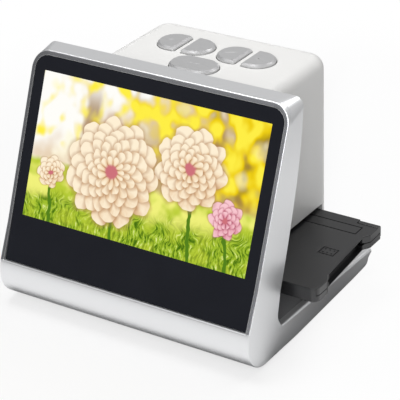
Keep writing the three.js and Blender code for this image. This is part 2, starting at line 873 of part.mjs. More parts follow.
// Sockets along the back edge of the main board, from the bottom up
const socketFaceX = -mainBoardLeft + boardThickness + gap;
const socketRows = [
  { name: "usb_socket", height: usbHeight, thickness: usbThickness, depth: usbDepth },
  { name: "video_socket", height: hdmiHeight, thickness: hdmiThickness, depth: hdmiDepth },
  { name: "card_socket", height: cardSocketHeight, thickness: cardSocketThickness, depth: cardSocketDepth },
];

// The height at which each socket starts
function socketLow(index) {
  return socketRows.slice(0, index).reduce((height, row) => height + row.height + socketSpacing,
    mainBoardLow + socketSpacing);
}

// The opening in the tower's back that the rear panel fills
function panelPlace() {
  const last = socketRows.length - 1;
  const middle = socketFaceX + usbThickness / 2;
  return {
    low: socketLow(0) - panelMargin,
    high: socketLow(last) + socketRows[last].height + panelMargin,
    left: middle - panelWidth / 2,
    right: middle + panelWidth / 2,
  };
}

// Main board on edge behind the left side, its sockets and the rear panel round their mouths
function makeElectronics() {
  const boardBackY = towerBackY - mainBoardAheadOfBack;
  addBlock("main_board", [-mainBoardLeft, boardBackY - mainBoardDepth, mainBoardLow],
    [-mainBoardLeft + boardThickness, boardBackY, mainBoardHigh], boardGreen());
  const { low, high, left, right } = panelPlace();
  const panelBackY = towerBackY - gap;
  let panel = block([left, panelBackY - panelThickness, low], [right, panelBackY, high]);
  socketRows.forEach(({ name, height, thickness, depth }, index) => {
    const bottom = socketLow(index);
    const nearX = socketFaceX;
    const farX = socketFaceX + thickness;
    const socket = cut(
      block([nearX, panelBackY - depth, bottom], [farX, panelBackY, bottom + height]),
      block([nearX + socketWall, panelBackY - mouthDepth, bottom + socketWall],
        [farX - socketWall, backY, bottom + height - socketWall]),
    );
    add(name, geometryOf(socket), steel());
    panel = cut(panel, block([nearX - gap, frontY, bottom - gap],
      [farX + gap, backY, bottom + height + gap]));
  });
  add("rear_panel", geometryOf(panel), darkPlastic());
}

// Guides above and below the film holder, the diffuser, the light box and the lamp board
function makeLightPath() {
  const guideX = towerInnerX - gap;
  const upperLow = holderHeight + guideAboveHolder;
  const upperHigh = upperLow + guideThickness;
  const guideFront = slotFrontY + gap;
  const guideBack = slotBackY - gap;
  const windowX = frameWindowWidth / 2;
  const windowY = frameWindowDepth / 2;
  const upper = cut(
    block([-guideX, guideFront, upperLow], [guideX, guideBack, upperHigh]),
    block([-windowX, holderMiddleY - windowY, 0], [windowX, holderMiddleY + windowY, cutTop]),
  );
  add("upper_guide", geometryOf(upper), darkPlastic());

  const floorHigh = slotLow;
  const floorLow = floorHigh - guideThickness;
  const diffuserX = diffuserWidth / 2;
  const diffuserY = diffuserDepth / 2;
  const floor = cut(
    block([-guideX, guideFront, floorLow], [guideX, guideBack, floorHigh]),
    block([-diffuserX - gap, holderMiddleY - diffuserY - gap, 0],
      [diffuserX + gap, holderMiddleY + diffuserY + gap, cutTop]),
  );
  add("slot_floor", geometryOf(floor), darkPlastic());
  addBlock("diffuser", [-diffuserX, holderMiddleY - diffuserY, floorLow],
    [diffuserX, holderMiddleY + diffuserY, floorHigh], opal());

  const boxX = lightBoxWidth / 2;
  const boxY = lightBoxDepth / 2;
  const boxTop = floorLow - gap;
  const flangeLow = topPlateHeight + gap;
  const inX = boxX - lightBoxWall;
  const inY = boxY - lightBoxWall;
  const box = cut(
    joined(
      block([-boxX, holderMiddleY - boxY, lightBoxBottom], [boxX, holderMiddleY + boxY, boxTop]),
      block([-boxX - lightBoxFlange, holderMiddleY - boxY - lightBoxFlange, flangeLow],
        [boxX + lightBoxFlange, holderMiddleY + boxY + lightBoxFlange, flangeLow + lightBoxWall]),
    ),
    block([-inX, holderMiddleY - inY, lightBoxBottom + lightBoxWall],
      [inX, holderMiddleY + inY, cutTop]),
  );
  add("light_box", geometryOf(box), white());
  const ledX = inX - gap;
  const ledY = inY - gap;
  addBlock("lamp_board", [-ledX, holderMiddleY - ledY, ledBoardHeight],
    [ledX, holderMiddleY + ledY, ledBoardHeight + boardThickness], boardGreen());
}

// Hood, lens and image sensor above the film
function makeOptics() {
  const hoodLow = holderHeight + guideAboveHolder + guideThickness + gap;
  const hoodTop = hoodLow + hoodHeight;
  const x = hoodWidth / 2;
  const y = hoodDepth / 2;
  const boardBottom = hoodTop - lensBarrelDrop + lensBarrelLength + gap;
  let hood = cut(
    block([-x, holderMiddleY - y, hoodLow], [x, holderMiddleY + y, hoodTop]),
    block([-x + hoodWall, holderMiddleY - y + hoodWall, 0],
      [x - hoodWall, holderMiddleY + y - hoodWall, hoodTop - hoodWall]),
    solidOf(rod(lensBarrelRadius + gap, 0, holderMiddleY, 0, cutTop, fineSides)),
  );
  const post = hoodPostSpacing / 2;
  for (const [postX, postY] of [[-post, -post], [post, -post], [-post, post], [post, post]]) {
    hood = joined(hood, solidOf(rod(hoodPostRadius, postX, holderMiddleY + postY, hoodTop - hoodWall / 2,
      boardBottom - gap, cableSides)));
  }
  add("optics_hood", geometryOf(hood), darkPlastic());

  const flangeLow = lensBarrelDrop + gap;
  const barrelProfile = [
    [lensBoreRadius, 0],
    [lensBarrelRadius, 0],
    [lensBarrelRadius, flangeLow],
    [lensFlangeRadius, flangeLow],
    [lensFlangeRadius, flangeLow + lensFlangeThickness],
    [lensBarrelRadius, flangeLow + lensFlangeThickness],
    [lensBarrelRadius, lensBarrelLength],
    [lensBoreRadius, lensBarrelLength],
    [lensBoreRadius, 0],
  ].map(([radius, height]) => new THREE.Vector2(radius, height));
  const barrel = new THREE.LatheGeometry(barrelProfile, fineSides);
  barrel.rotateX(Math.PI / 2);
  add("lens_barrel", barrel, darkPlastic()).position.set(0, holderMiddleY, hoodTop - lensBarrelDrop);

  const lensProfile = [new THREE.Vector2(0, -lensBulge)];
  for (let step = 1; step <= arcSteps; step++) {
    const share = step / arcSteps;
    lensProfile.push(new THREE.Vector2(lensRadius * share, -lensBulge * (1 - share * share)));
  }
  for (let step = arcSteps; step >= 0; step--) {
    const share = step / arcSteps;
    const height = lensRimThickness + lensBulge * (1 - share * share);
    lensProfile.push(new THREE.Vector2(lensRadius * share, height));
  }
  const lens = new THREE.LatheGeometry(lensProfile, fineSides);
  lens.rotateX(Math.PI / 2);
  add("lens", lens, clearGlass()).position.set(0, holderMiddleY, hoodTop - lensBarrelDrop + lensBulge + gap);

  const boardHalf = sensorBoardSize / 2;
  addBlock("sensor_board", [-boardHalf, holderMiddleY - boardHalf, boardBottom],
    [boardHalf, holderMiddleY + boardHalf, boardBottom + boardThickness], boardGreen());
  const sensorX = sensorWidth / 2;
  const sensorY = sensorDepth / 2;
  const sensorTop = boardBottom - gap;
  addBlock("image_sensor", [-sensorX, holderMiddleY - sensorY, sensorTop - sensorThickness],
    [sensorX, holderMiddleY + sensorY, sensorTop], darkPlastic());
}

// The holder's outline from above: a notch in each end where the film comes out, and room for the hinge ends
function holderPlan(hingeEndsLeftOut) {
  const x = holderLength / 2;
  const front = holderFrontY + notchFront;
  const right = [
    [x, holderFrontY, holderFrontRadius],
    [x, front],
    [x - notchDepthFront, front + notchStep],
    [x - notchDepthBack, front + notchLength - notchSlant],
    [x - hingeEndInset, front + notchLength],
  ];
  if (hingeEndsLeftOut) {
    right.push(
      [x - hingeEndInset, holderBackY - knuckleDepth - gap],
      [x - knuckleLength - gap, holderBackY - knuckleDepth - gap],
      [x - knuckleLength - gap, holderBackY],
    );
  } else {
    right.push([x - hingeEndInset, holderBackY, holderCornerRadius]);
  }
  const left = right.map(([pointX, pointY, radius]) => [-pointX, pointY, radius]).reverse();
  return rounded([...right, ...left]);
}

// Film holder: lower tray, hinged lid and the hinge pin between them
function makeHolder() {
  const windowX = frameWindowWidth / 2;
  const windowY = frameWindowDepth / 2;
  const window = block([-windowX, holderMiddleY - windowY, 0],
    [windowX, holderMiddleY + windowY, cutTop]);
  const filmY = filmWidth / 2 + gap;
  const channel = block([-holderLength, holderMiddleY - filmY, holderSeam - gap / 2 - filmChannelDepth],
    [holderLength, holderMiddleY + filmY, holderSeam + gap / 2 + filmChannelDepth]);
  const pinY = holderBackY - knuckleDepth / 2;
  const pinHeight = holderHeight - hingePinHeight;
  const pinHalf = holderLength / 2 - knuckleLength / 2;
  const boreRadius = hingePinRadius + gap;
  const bore = new THREE.CylinderGeometry(boreRadius, boreRadius, 2 * (pinHalf + gap), cableSides);
  bore.rotateZ(Math.PI / 2);
  bore.translate(0, pinY, pinHeight);
  const boreTool = solidOf(bore);

  const x = holderLength / 2;
  let tray = solidOf(prism("z", holderPlan(false), holderBottom, holderSeam - gap / 2));
  for (const side of [-1, 1]) {
    const near = side * (x - knuckleLength);
    const far = side * (x - hingeEndInset - gap);
    tray = joined(tray, block(
      [Math.min(near, far), holderBackY - knuckleDepth, holderBottom + gap],
      [Math.max(near, far), holderBackY - gap, holderHeight],
    ));
  }
  add("holder_tray", geometryOf(cut(tray, boreTool, window, channel)), darkPlastic(), holder);

  const lid = solidOf(prism("z", holderPlan(true), holderSeam + gap / 2, holderHeight));
  add("holder_lid", geometryOf(cut(lid, boreTool, window, channel)), darkPlastic(), holder);

  const pin = new THREE.CylinderGeometry(hingePinRadius, hingePinRadius, 2 * pinHalf, cableSides);
  const pinMesh = add("holder_hinge_pin", pin, steel(), holder);
  pinMesh.rotation.z = Math.PI / 2;
  pinMesh.position.set(0, pinY, pinHeight);
}

// A round cable along points inside the body.
function cable(points, radius) {
  const path = new THREE.CatmullRomCurve3(points.map((point) => new THREE.Vector3(...point)));
  const section = new THREE.Shape();
  section.absarc(0, 0, radius, 0, 2 * Math.PI);
  return new THREE.ExtrudeGeometry(section, {
    steps: cableSteps, curveSegments: cableSides / 2, bevelEnabled: false, extrudePath: path });
}

// Cables from the display and from the lamp to the main board
function makeCables() {
  const driverBack = glassSetBack + glassThickness + 2 * gap + displayThickness + bracketThickness
    + gap + boardThickness;
  const [startY, startHeight] = onSlab((driverBoardLow + driverBoardHigh) / 2, driverBack);
  const boardFaceX = -mainBoardLeft + boardThickness;
  const startX = -driverBoardWidth / 4;
  const straight = 2 * displayCableRadius;
  const leaveY = startY + 2 * straight * Math.cos(leanAngle);
  const plugY = towerBackY - mainBoardAheadOfBack - mainBoardDepth + straight;
  const runHeight = startHeight - straight;
  const along = (share) => leaveY + (plugY - leaveY) * share;
  const plugX = boardFaceX + gap + displayCableRadius + straight;
  add("display_cable", cable([
    [startX, startY + gap * 2, startHeight - gap],
    [startX, leaveY, startHeight - 2 * straight * Math.sin(leanAngle)],
    [startX, along(levelShare), runHeight],
    [(startX + boardFaceX) / 2, along(turnShare), runHeight],
    [plugX, plugY, runHeight],
    [boardFaceX + gap, plugY, runHeight],
  ], displayCableRadius), darkPlastic());

  const lampY = holderMiddleY + lightBoxDepth / 2;
  const riseY = (slotBackY + towerBackY - wall) / 2;
  const lampHeight = topPlateHeight + gap + 2 * lightBoxWall;
  const boardX = -mainBoardLeft + boardThickness / 2;
  add("lamp_cable", cable([
    [boardX + lightBoxWidth / 4, lampY + gap, lampHeight],
    [boardX + lightBoxWidth / 4, (lampY + riseY) / 2, lampHeight],
    [boardX + lightBoxWidth / 8, riseY, lampHeight + 2 * lightBoxWall],
    [boardX, riseY, (lampHeight + mainBoardLow) / 2],
    [boardX, riseY, mainBoardLow - gap],
  ], lampCableRadius), darkPlastic());
}

makeFrontFrame();
makeDisplay();
makeBase();
makeFeet();
makeTower();
makeButtons();
makeElectronics();
makeLightPath();
makeOptics();
makeHolder();
makeCables();
makeScrews();

export default scanner;
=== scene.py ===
"""Film negative scanner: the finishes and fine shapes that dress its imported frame.

A silver slab with a display leans back over a low silver base. A white tower stands behind
it with five push buttons, and a charcoal film holder slides through the tower. Every shape
here is worked out in millimetres in the frame's own directions and scaled once, when its
mesh is finished.
"""

import json
import logging
import math
import random
from collections.abc import Sequence
from dataclasses import dataclass
from enum import Enum

import bmesh
import bpy
from mathutils import Matrix, Vector


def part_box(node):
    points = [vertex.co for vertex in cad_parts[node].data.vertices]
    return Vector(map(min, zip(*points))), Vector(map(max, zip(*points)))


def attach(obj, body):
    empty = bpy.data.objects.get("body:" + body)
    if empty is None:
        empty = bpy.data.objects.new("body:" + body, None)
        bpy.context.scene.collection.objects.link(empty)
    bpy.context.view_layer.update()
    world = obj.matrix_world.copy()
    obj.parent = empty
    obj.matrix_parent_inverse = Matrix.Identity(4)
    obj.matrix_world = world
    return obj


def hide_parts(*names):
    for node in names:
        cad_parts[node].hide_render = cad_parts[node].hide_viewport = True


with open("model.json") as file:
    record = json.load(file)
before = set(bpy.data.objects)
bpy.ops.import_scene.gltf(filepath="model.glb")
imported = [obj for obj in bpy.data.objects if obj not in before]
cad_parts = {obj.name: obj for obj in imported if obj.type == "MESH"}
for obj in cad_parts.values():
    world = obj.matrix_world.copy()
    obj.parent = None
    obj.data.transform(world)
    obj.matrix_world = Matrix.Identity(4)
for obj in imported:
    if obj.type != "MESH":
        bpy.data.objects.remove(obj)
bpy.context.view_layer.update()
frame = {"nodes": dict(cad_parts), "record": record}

MM = 0.001
OVERRUN = 2.0
TOUCH = 0.02

Point = tuple[float, float]
Corner = tuple[float, ...]
Triple = tuple[float, float, float]
Colour = tuple[float, float, float]
WHITE: Colour = (1.0, 1.0, 1.0)

log = logging.getLogger("scanner")


class Slot(Enum):
    """The record's material slots."""

    SILVER = "silver_lacquer"
    WHITE = "white_shell"
    GLASS = "front_glass"
    BUTTON = "button_grey"
    HOLDER = "holder_plastic"
    DARK = "dark_plastic"
    GREY = "grey_plastic"
    RUBBER = "rubber"
    STEEL = "steel"
    BOARD = "circuit_board"
    DISPLAY = "display_panel"
    LENS = "lens_glass"
    DIFFUSER = "diffuser"
    CABLE = "cable_sleeve"


class Axis(Enum):
    """The direction that an outline is pushed along."""

    X = "x"
    Y = "y"
    Z = "z"

    def place(self, point: Point, depth: float) -> Vector:
        """Puts a flat point at a depth along this axis.

        Args:
            point: The flat point.
            depth: How far along the axis it goes.

        Returns:
            The place.
        """
        if self is Axis.X:
            return Vector((depth, point[0], point[1]))
        if self is Axis.Y:
            return Vector((point[0], depth, point[1]))
        return Vector((point[0], point[1], depth))


# Shader maths


class Value:
    """A number on a node socket, with arithmetic that adds Math nodes."""

    def __init__(self, sheet: "Nodes", socket: bpy.types.NodeSocket) -> None:
        """Wraps a socket of one sheet."""
        self.sheet = sheet
        self.socket = socket

    def math(self, operation: str, *others: "Value | float") -> "Value":
        """Adds a Math node with this value first."""
        return self.sheet.number("ShaderNodeMath", {"operation": operation}, (self, *others))

    def flipped(self, operation: str, first: float) -> "Value":
        """Adds a Math node with this value second."""
        return self.sheet.number("ShaderNodeMath", {"operation": operation}, (first, self))

    def __add__(self, other: "Value | float") -> "Value":
        """Sum."""
        return self.math("ADD", other)

    __radd__ = __add__

    def __sub__(self, other: "Value | float") -> "Value":
        """Difference."""
        return self.math("SUBTRACT", other)

    def __rsub__(self, other: float) -> "Value":
        """Difference from a number."""
        return self.flipped("SUBTRACT", other)

    def __mul__(self, other: "Value | float") -> "Value":
        """Product."""
        return self.math("MULTIPLY", other)

    __rmul__ = __mul__

    def __truediv__(self, other: "Value | float") -> "Value":
        """Quotient."""
        return self.math("DIVIDE", other)

    def __abs__(self) -> "Value":
        """Size without its sign."""
        return self.math("ABSOLUTE")

    def least(self, other: "Value | float") -> "Value":
        """The smaller of two."""
        return self.math("MINIMUM", other)

    def most(self, other: "Value | float") -> "Value":
        """The larger of two."""
        return self.math("MAXIMUM", other)

    def rises(self, low: float, high: float) -> "Value":
        """A smooth step from 0 at low to 1 at high; falls where high is below low.

        Args:
            low: Where it is 0.
            high: Where it is 1.

        Returns:
            The step.
        """
        ends = (low, high, 0.0, 1.0) if low <= high else (high, low, 1.0, 0.0)
        settings = {"interpolation_type": "SMOOTHSTEP"}
        return self.sheet.number("ShaderNodeMapRange", settings, (self, *ends))

    def within(self, low: float, high: float, soft: float) -> "Value":
        """1 between two values and 0 outside them, with soft ends."""
        return self.rises(low - soft, low + soft) * self.rises(high + soft, high - soft)


Link = Value | bpy.types.NodeSocket | float | Sequence[float]


class Nodes:
    """The nodes of one tree, read over a point or a direction."""

    def __init__(self, tree: bpy.types.NodeTree, coordinates: str, scale: float) -> None:
        """Empties a tree and reads its coordinates.

        Args:
            tree: The node tree.
            coordinates: Which output of the coordinates node is read.
            scale: What they are multiplied by.
        """
        self.tree = tree
        self.tree.nodes.clear()
        read = self.node("ShaderNodeTexCoord").outputs[coordinates]
        self.point = self.vector("SCALE", {0: read, "Scale": scale})
        parts = self.node("ShaderNodeSeparateXYZ", {}, {0: self.point}).outputs
        self.x, self.y, self.z = (Value(self, part) for part in parts)

    def node(self, kind: str, settings: dict | None = None, sockets: dict | None = None) -> bpy.types.Node:
        """Adds a node.

        Args:
            kind: The node's type name.
            settings: Its properties, set first; "stops" holds a ramp's stops.
            sockets: Values or links of its inputs, by name or number.

        Returns:
            The node.
        """
        made = self.tree.nodes.new(kind)
        for name, value in (settings or {}).items():
            if name == "stops":
                self.set_stops(made.color_ramp, value)
            else:
                setattr(made, name, value)
        for name, value in (sockets or {}).items():
            entry = made.inputs[name]
            if isinstance(value, Value):
                value = value.socket
            if isinstance(value, bpy.types.NodeSocket):
                self.tree.links.new(value, entry)
            else:
                entry.default_value = self.fitted(entry, value)
        return made

    @staticmethod
    def fitted(entry: bpy.types.NodeSocket, value: float | Sequence[float]) -> float | tuple[float, ...]:
        """Gives a colour its fourth number where the socket wants one.

        Args:
            entry: The socket.
            value: What it is given.

        Returns:
            The value that fits.
        """
        if entry.type == "RGBA":
            return (*value, 1.0) if len(value) == 3 else tuple(value)
        return value

    @staticmethod
    def set_stops(ramp: bpy.types.ColorRamp, stops: Sequence[tuple[float, Colour]]) -> None:
        """Sets a ramp's stops.

        Args:
            ramp: The ramp.
            stops: Each stop's place and colour.
        """
        while len(ramp.elements) < len(stops):
            ramp.elements.new(1.0)
        for element, (place, colour) in zip(ramp.elements, stops):
            element.position = place
            element.color = (*colour, 1.0)

    def number(self, kind: str, settings: dict, entries: Sequence[Link]) -> Value:
        """The first output of a new node whose inputs are given in order."""
        return Value(self, self.node(kind, settings, dict(enumerate(entries))).outputs[0])

    def vector(self, operation: str, sockets: dict) -> bpy.types.NodeSocket:
        """The vector from a new Vector Math node."""
        return self.node("ShaderNodeVectorMath", {"operation": operation}, sockets).outputs[0]

    def along(self, direction: Triple, origin: Triple) -> Value:
        """The distance of a point along a direction, from an origin, in millimetres.

        Args:
            direction: The direction.
            origin: Where it is 0.

        Returns:
            The distance.
        """
        moved = self.vector("SUBTRACT", {0: self.point, 1: origin})
        dot = self.node("ShaderNodeVectorMath", {"operation": "DOT_PRODUCT"}, {0: moved, 1: direction})
        return Value(self, dot.outputs["Value"])

    def combined(self, x: Link, y: Link, z: Link = 0.0) -> bpy.types.NodeSocket:
        """A vector from three numbers."""
        return self.node("ShaderNodeCombineXYZ", {}, {0: x, 1: y, 2: z}).outputs[0]

    def noise(
        self, scale: float, detail: float = 2.0, vector: Link | None = None, rough: float = 0.5
    ) -> Value:
        """Noise whose grain is 1/scale millimetres.

        Args:
            scale: Grains in a millimetre.
            detail: How many finer layers there are.
            vector: Where it is read, or the point itself.
            rough: How strong the finer layers are.

        Returns:
            A number about 0.5.
        """
        sockets = {"Vector": vector or self.point, "Scale": scale, "Detail": detail, "Roughness": rough}
        return Value(self, self.node("ShaderNodeTexNoise", {}, sockets).outputs["Fac"])

    def mix(self, factor: Link, low: Link, high: Link) -> bpy.types.NodeSocket:
        """A colour between two, by a factor."""
        made = self.node("ShaderNodeMix", {"data_type": "RGBA"}, {0: factor, 6: low, 7: high})
        return made.outputs[2]

    def bump(self, height: Value, strength: float, distance: float) -> bpy.types.NodeSocket:
        """A normal bumped by a height, in millimetres."""
        sockets = {"Height": height, "Strength": strength, "Distance": distance * MM}
        return self.node("ShaderNodeBump", {}, sockets).outputs["Normal"]

    def ray(self, *kinds: str) -> Value:
        """1 for rays of any of some kinds, such as Is Camera Ray.

        Args:
            kinds: The light path outputs that count.

        Returns:
            1 or 0.
        """
        path = self.node("ShaderNodeLightPath").outputs
        found = Value(self, path[kinds[0]])
        for kind in kinds[1:]:
            found = found.most(Value(self, path[kind]))
        return found


class Sheet(Nodes):
    """One material's nodes."""

    def __init__(self, name: str) -> None:
        """Makes an empty material with object coordinates in millimetres.

        Args:
            name: The material's name.
        """
        self.material = bpy.data.materials.new(name)
        self.material.use_nodes = True
        super().__init__(self.material.node_tree, "Object", 1 / MM)

    def surface(self, **sockets: Link) -> bpy.types.Material:
        """Ends the sheet in a Principled shader; names are given with _ for a space.

        Args:
            sockets: Values or links of the shader's inputs.

        Returns:
            The material.
        """
        named = {name.replace("_", " "): value for name, value in sockets.items()}
        shader = self.node("ShaderNodeBsdfPrincipled", {}, named)
        self.node("ShaderNodeOutputMaterial", {}, {"Surface": shader.outputs[0]})
        return self.material


def tones(colour: Colour, spread: float) -> tuple[Colour, Colour]:
    """A darker and a lighter tone of a colour."""
    return tuple(tuple(part * factor for part in colour) for factor in (1 - spread, 1 + spread))


# Finishes


@dataclass(frozen=True)
class SilverLacquer:
    """Satin silver lacquer with a fine metal flake.

    flake and cloud hold a noise's scale and detail, the shares what each adds to the colour's
    tone and to the roughness, and bump the flake's strength and depth.
    """

    colour: Colour = (0.72, 0.725, 0.735)
    spread: float = 0.08
    metallic: float = 0.64
    roughness: float = 0.34
    flake: Point = (14.0, 1.0)
    cloud: Point = (0.03, 2.0)
    flake_shares: Point = (0.16, 0.05)
    cloud_shares: Point = (0.08, 0.06)
    bump: Point = (0.12, 0.02)

    def material(self) -> bpy.types.Material:
        """Builds the finish.

        Returns:
            The material.
        """
        sheet = Sheet("silver_lacquer_finish")
        flake = sheet.noise(*self.flake)
        cloud = sheet.noise(*self.cloud)
        tone, rough = (
            (flake - 0.5) * by_flake + (cloud - 0.5) * by_cloud + start
            for by_flake, by_cloud, start in zip(self.flake_shares, self.cloud_shares, (0.5, self.roughness))
        )
        return sheet.surface(
            Base_Color=sheet.mix(tone, *tones(self.colour, self.spread)),
            Metallic=self.metallic,
            Roughness=rough,
            Normal=sheet.bump(flake, *self.bump),
        )


@dataclass(frozen=True)
class Clouded:
    """A finish whose colour and roughness follow one noise.

    grain holds the noise's scale and detail, rough what it adds to the roughness and where that
    starts, and bump the scale, detail, strength and depth of a bump.
    """

    name: str
    low: Colour
    high: Colour
    grain: Point
    rough: Point
    metallic: float = 0.0
    specular: float = 0.5
    bump: tuple[float, ...] = ()

    def material(self) -> bpy.types.Material:
        """Builds the finish.

        Returns:
            The material.
        """
        sheet = Sheet(self.name)
        noise = sheet.noise(*self.grain)
        looks = {
            "Base_Color": sheet.mix(noise, self.low, self.high),
            "Roughness": noise * self.rough[0] + self.rough[1],
            "Metallic": self.metallic,
            "Specular_IOR_Level": self.specular,
        }
        if self.bump:
            looks["Normal"] = sheet.bump(sheet.noise(*self.bump[:2]), *self.bump[2:])
        return sheet.surface(**looks)


@dataclass(frozen=True)
class MouldedPlastic:
    """Plastic with a fine moulded grain."""

    name: str
    colour: Colour
    roughness: float = 0.5
    grain_scale: float = 5.0
    grain_depth: float = 0.02
    spread: float = 0.08
    specular: float = 0.5
    cloud_scale: float = 0.04
    grain_rough: float = 0.18
    cloud_rough: float = 0.06
    bump_strength: float = 0.35

    def material(self) -> bpy.types.Material:
        """Builds the finish.

        Returns:
            The material.
        """
        sheet = Sheet(self.name)
        grain = sheet.noise(self.grain_scale, 3.0)
        cloud = sheet.noise(self.cloud_scale, 2.0)
        rough = (grain - 0.5) * self.grain_rough + (cloud - 0.5) * self.cloud_rough + self.roughness
        return sheet.surface(
            Base_Color=sheet.mix((cloud + grain) * 0.5, *tones(self.colour, self.spread)),
            Roughness=rough,
            Specular_IOR_Level=self.specular,
            Normal=sheet.bump(grain, self.bump_strength, self.grain_depth),
        )


@dataclass(frozen=True)
class BrushedCap:
    """Satin metal paint on the button caps, faintly brushed from side to side."""

    colour: Colour = (0.60, 0.60, 0.605)
    roughness: float = 0.32

    def material(self) -> bpy.types.Material:
        """Builds the finish.

        Returns:
            The material.
        """
        sheet = Sheet("button_cap_finish")
        stretched = sheet.combined(sheet.x * 0.35, sheet.y * 6.0, sheet.z * 6.0)
        strokes = sheet.noise(1.0, 3.0, stretched)
        return sheet.surface(
            Base_Color=sheet.mix(strokes, *tones(self.colour, 0.1)),
            Metallic=0.6,
            Roughness=(strokes - 0.5) * 0.12 + self.roughness,
            Normal=sheet.bump(strokes, 0.15, 0.01),
        )


@dataclass(frozen=True)
class CircuitBoard:
    """Green solder mask over copper traces, with tinned pads."""

    mask_colour: Colour = (0.012, 0.09, 0.04)
    trace_colour: Colour = (0.025, 0.17, 0.07)
    pad_colour: Colour = (0.55, 0.52, 0.42)
    pitch: float = 2.54

    def material(self) -> bpy.types.Material:
        """Builds the finish.

        Returns:
            The material.
        """
        sheet = Sheet("circuit_board_finish")
        wander = sheet.noise(0.25, 0.0) * 9.0
        runs = (sheet.x + sheet.y + sheet.z + wander).math("MODULO", 1.3).math("ABSOLUTE")
        traces = runs.within(0.3, 0.75, 0.06)
        cell = self.pitch
        nearest = [
            abs((part + 1000 * cell).math("MODULO", cell) - cell / 2) for part in (sheet.x, sheet.y, sheet.z)
        ]
        pads = nearest[0].rises(0.55, 0.45) * nearest[1].rises(0.55, 0.45) * nearest[2].rises(0.75, 0.65)
        shown = pads * sheet.noise(0.15, 0.0).rises(0.5, 0.56)
        green = sheet.mix(traces, self.mask_colour, self.trace_colour)
        base = sheet.mix(shown, green, self.pad_colour)
        return sheet.surface(Base_Color=base, Metallic=shown * 0.9, Roughness=shown * -0.15 + 0.45)


@dataclass(frozen=True)
class Bloom:
    """One flower of the display's picture, in millimetres of the picture."""

    across: float
    up: float
    radius: float
    petals: int
    turn: float
    rings: int
    shrink: float = 0.82
    twist: float = 0.35
    scallop: float = 0.34
    shadow: Point = (0.11, 0.42)
    stem: Colour = (0.09, 0.22, 0.012)
    light: Colour = (1.0, 0.87, 0.66)
    middle: Colour = (0.83, 0.58, 0.35)
    deep: Colour = (0.42, 0.20, 0.085)
    heart: Colour = (0.62, 0.17, 0.20)

    def draw(self, sheet: Sheet, u: Value, v: Value, under: bpy.types.NodeSocket) -> bpy.types.NodeSocket:
        """Draws rings of petals that get smaller, each over the shadow that it casts.

        Args:
            sheet: The material's nodes.
            u: Millimetres across the picture.
            v: Millimetres up the picture.
            under: The colour behind it.

        Returns:
            The colour.
        """
        across, up = u - self.across, v - self.up
        away = (across * across + up * up).math("SQRT")
        angle = up.math("ARCTAN2", across)
        stem = abs(across + up * 0.14).rises(0.95, 0.6) * up.rises(0.5, -0.5)
        colour = sheet.mix(stem, under, self.stem)
        lit = (up * 0.8 - across * 0.5) / (5.0 * self.radius)
        streaks = sheet.noise(1.0, 2.0, sheet.combined(angle * 9.0, away * 0.25, self.across)) - 0.5
        for ring in range(self.rings):
            reach = self.radius * (1.0 - self.shrink * ring / self.rings)
            phase = self.turn + ring * (math.pi / 2 + self.twist)
            wave = abs((angle * (self.petals / 2) + phase).math("COSINE"))
            edge = wave.math("POWER", 0.5) * (self.scallop * reach) + (1.0 - self.scallop) * reach
            inside = edge - away
            shaded = inside.rises(-self.shadow[0] * self.radius, 0.05) * self.shadow[1]
            colour = sheet.mix(shaded, colour, self.deep)
            tone = wave.math("POWER", 0.7) * 0.5 + away / reach * 0.55 + lit + streaks * 0.35 - 0.12
            petal = sheet.mix(tone.rises(0.15, 0.62), self.deep, self.middle)
            petal = sheet.mix(tone.rises(0.45, 0.9), petal, self.light)
            colour = sheet.mix(inside.rises(-0.12, 0.2), colour, petal)
        heart = away.rises(0.17 * self.radius, 0.11 * self.radius)
        return sheet.mix(heart, colour, self.heart)


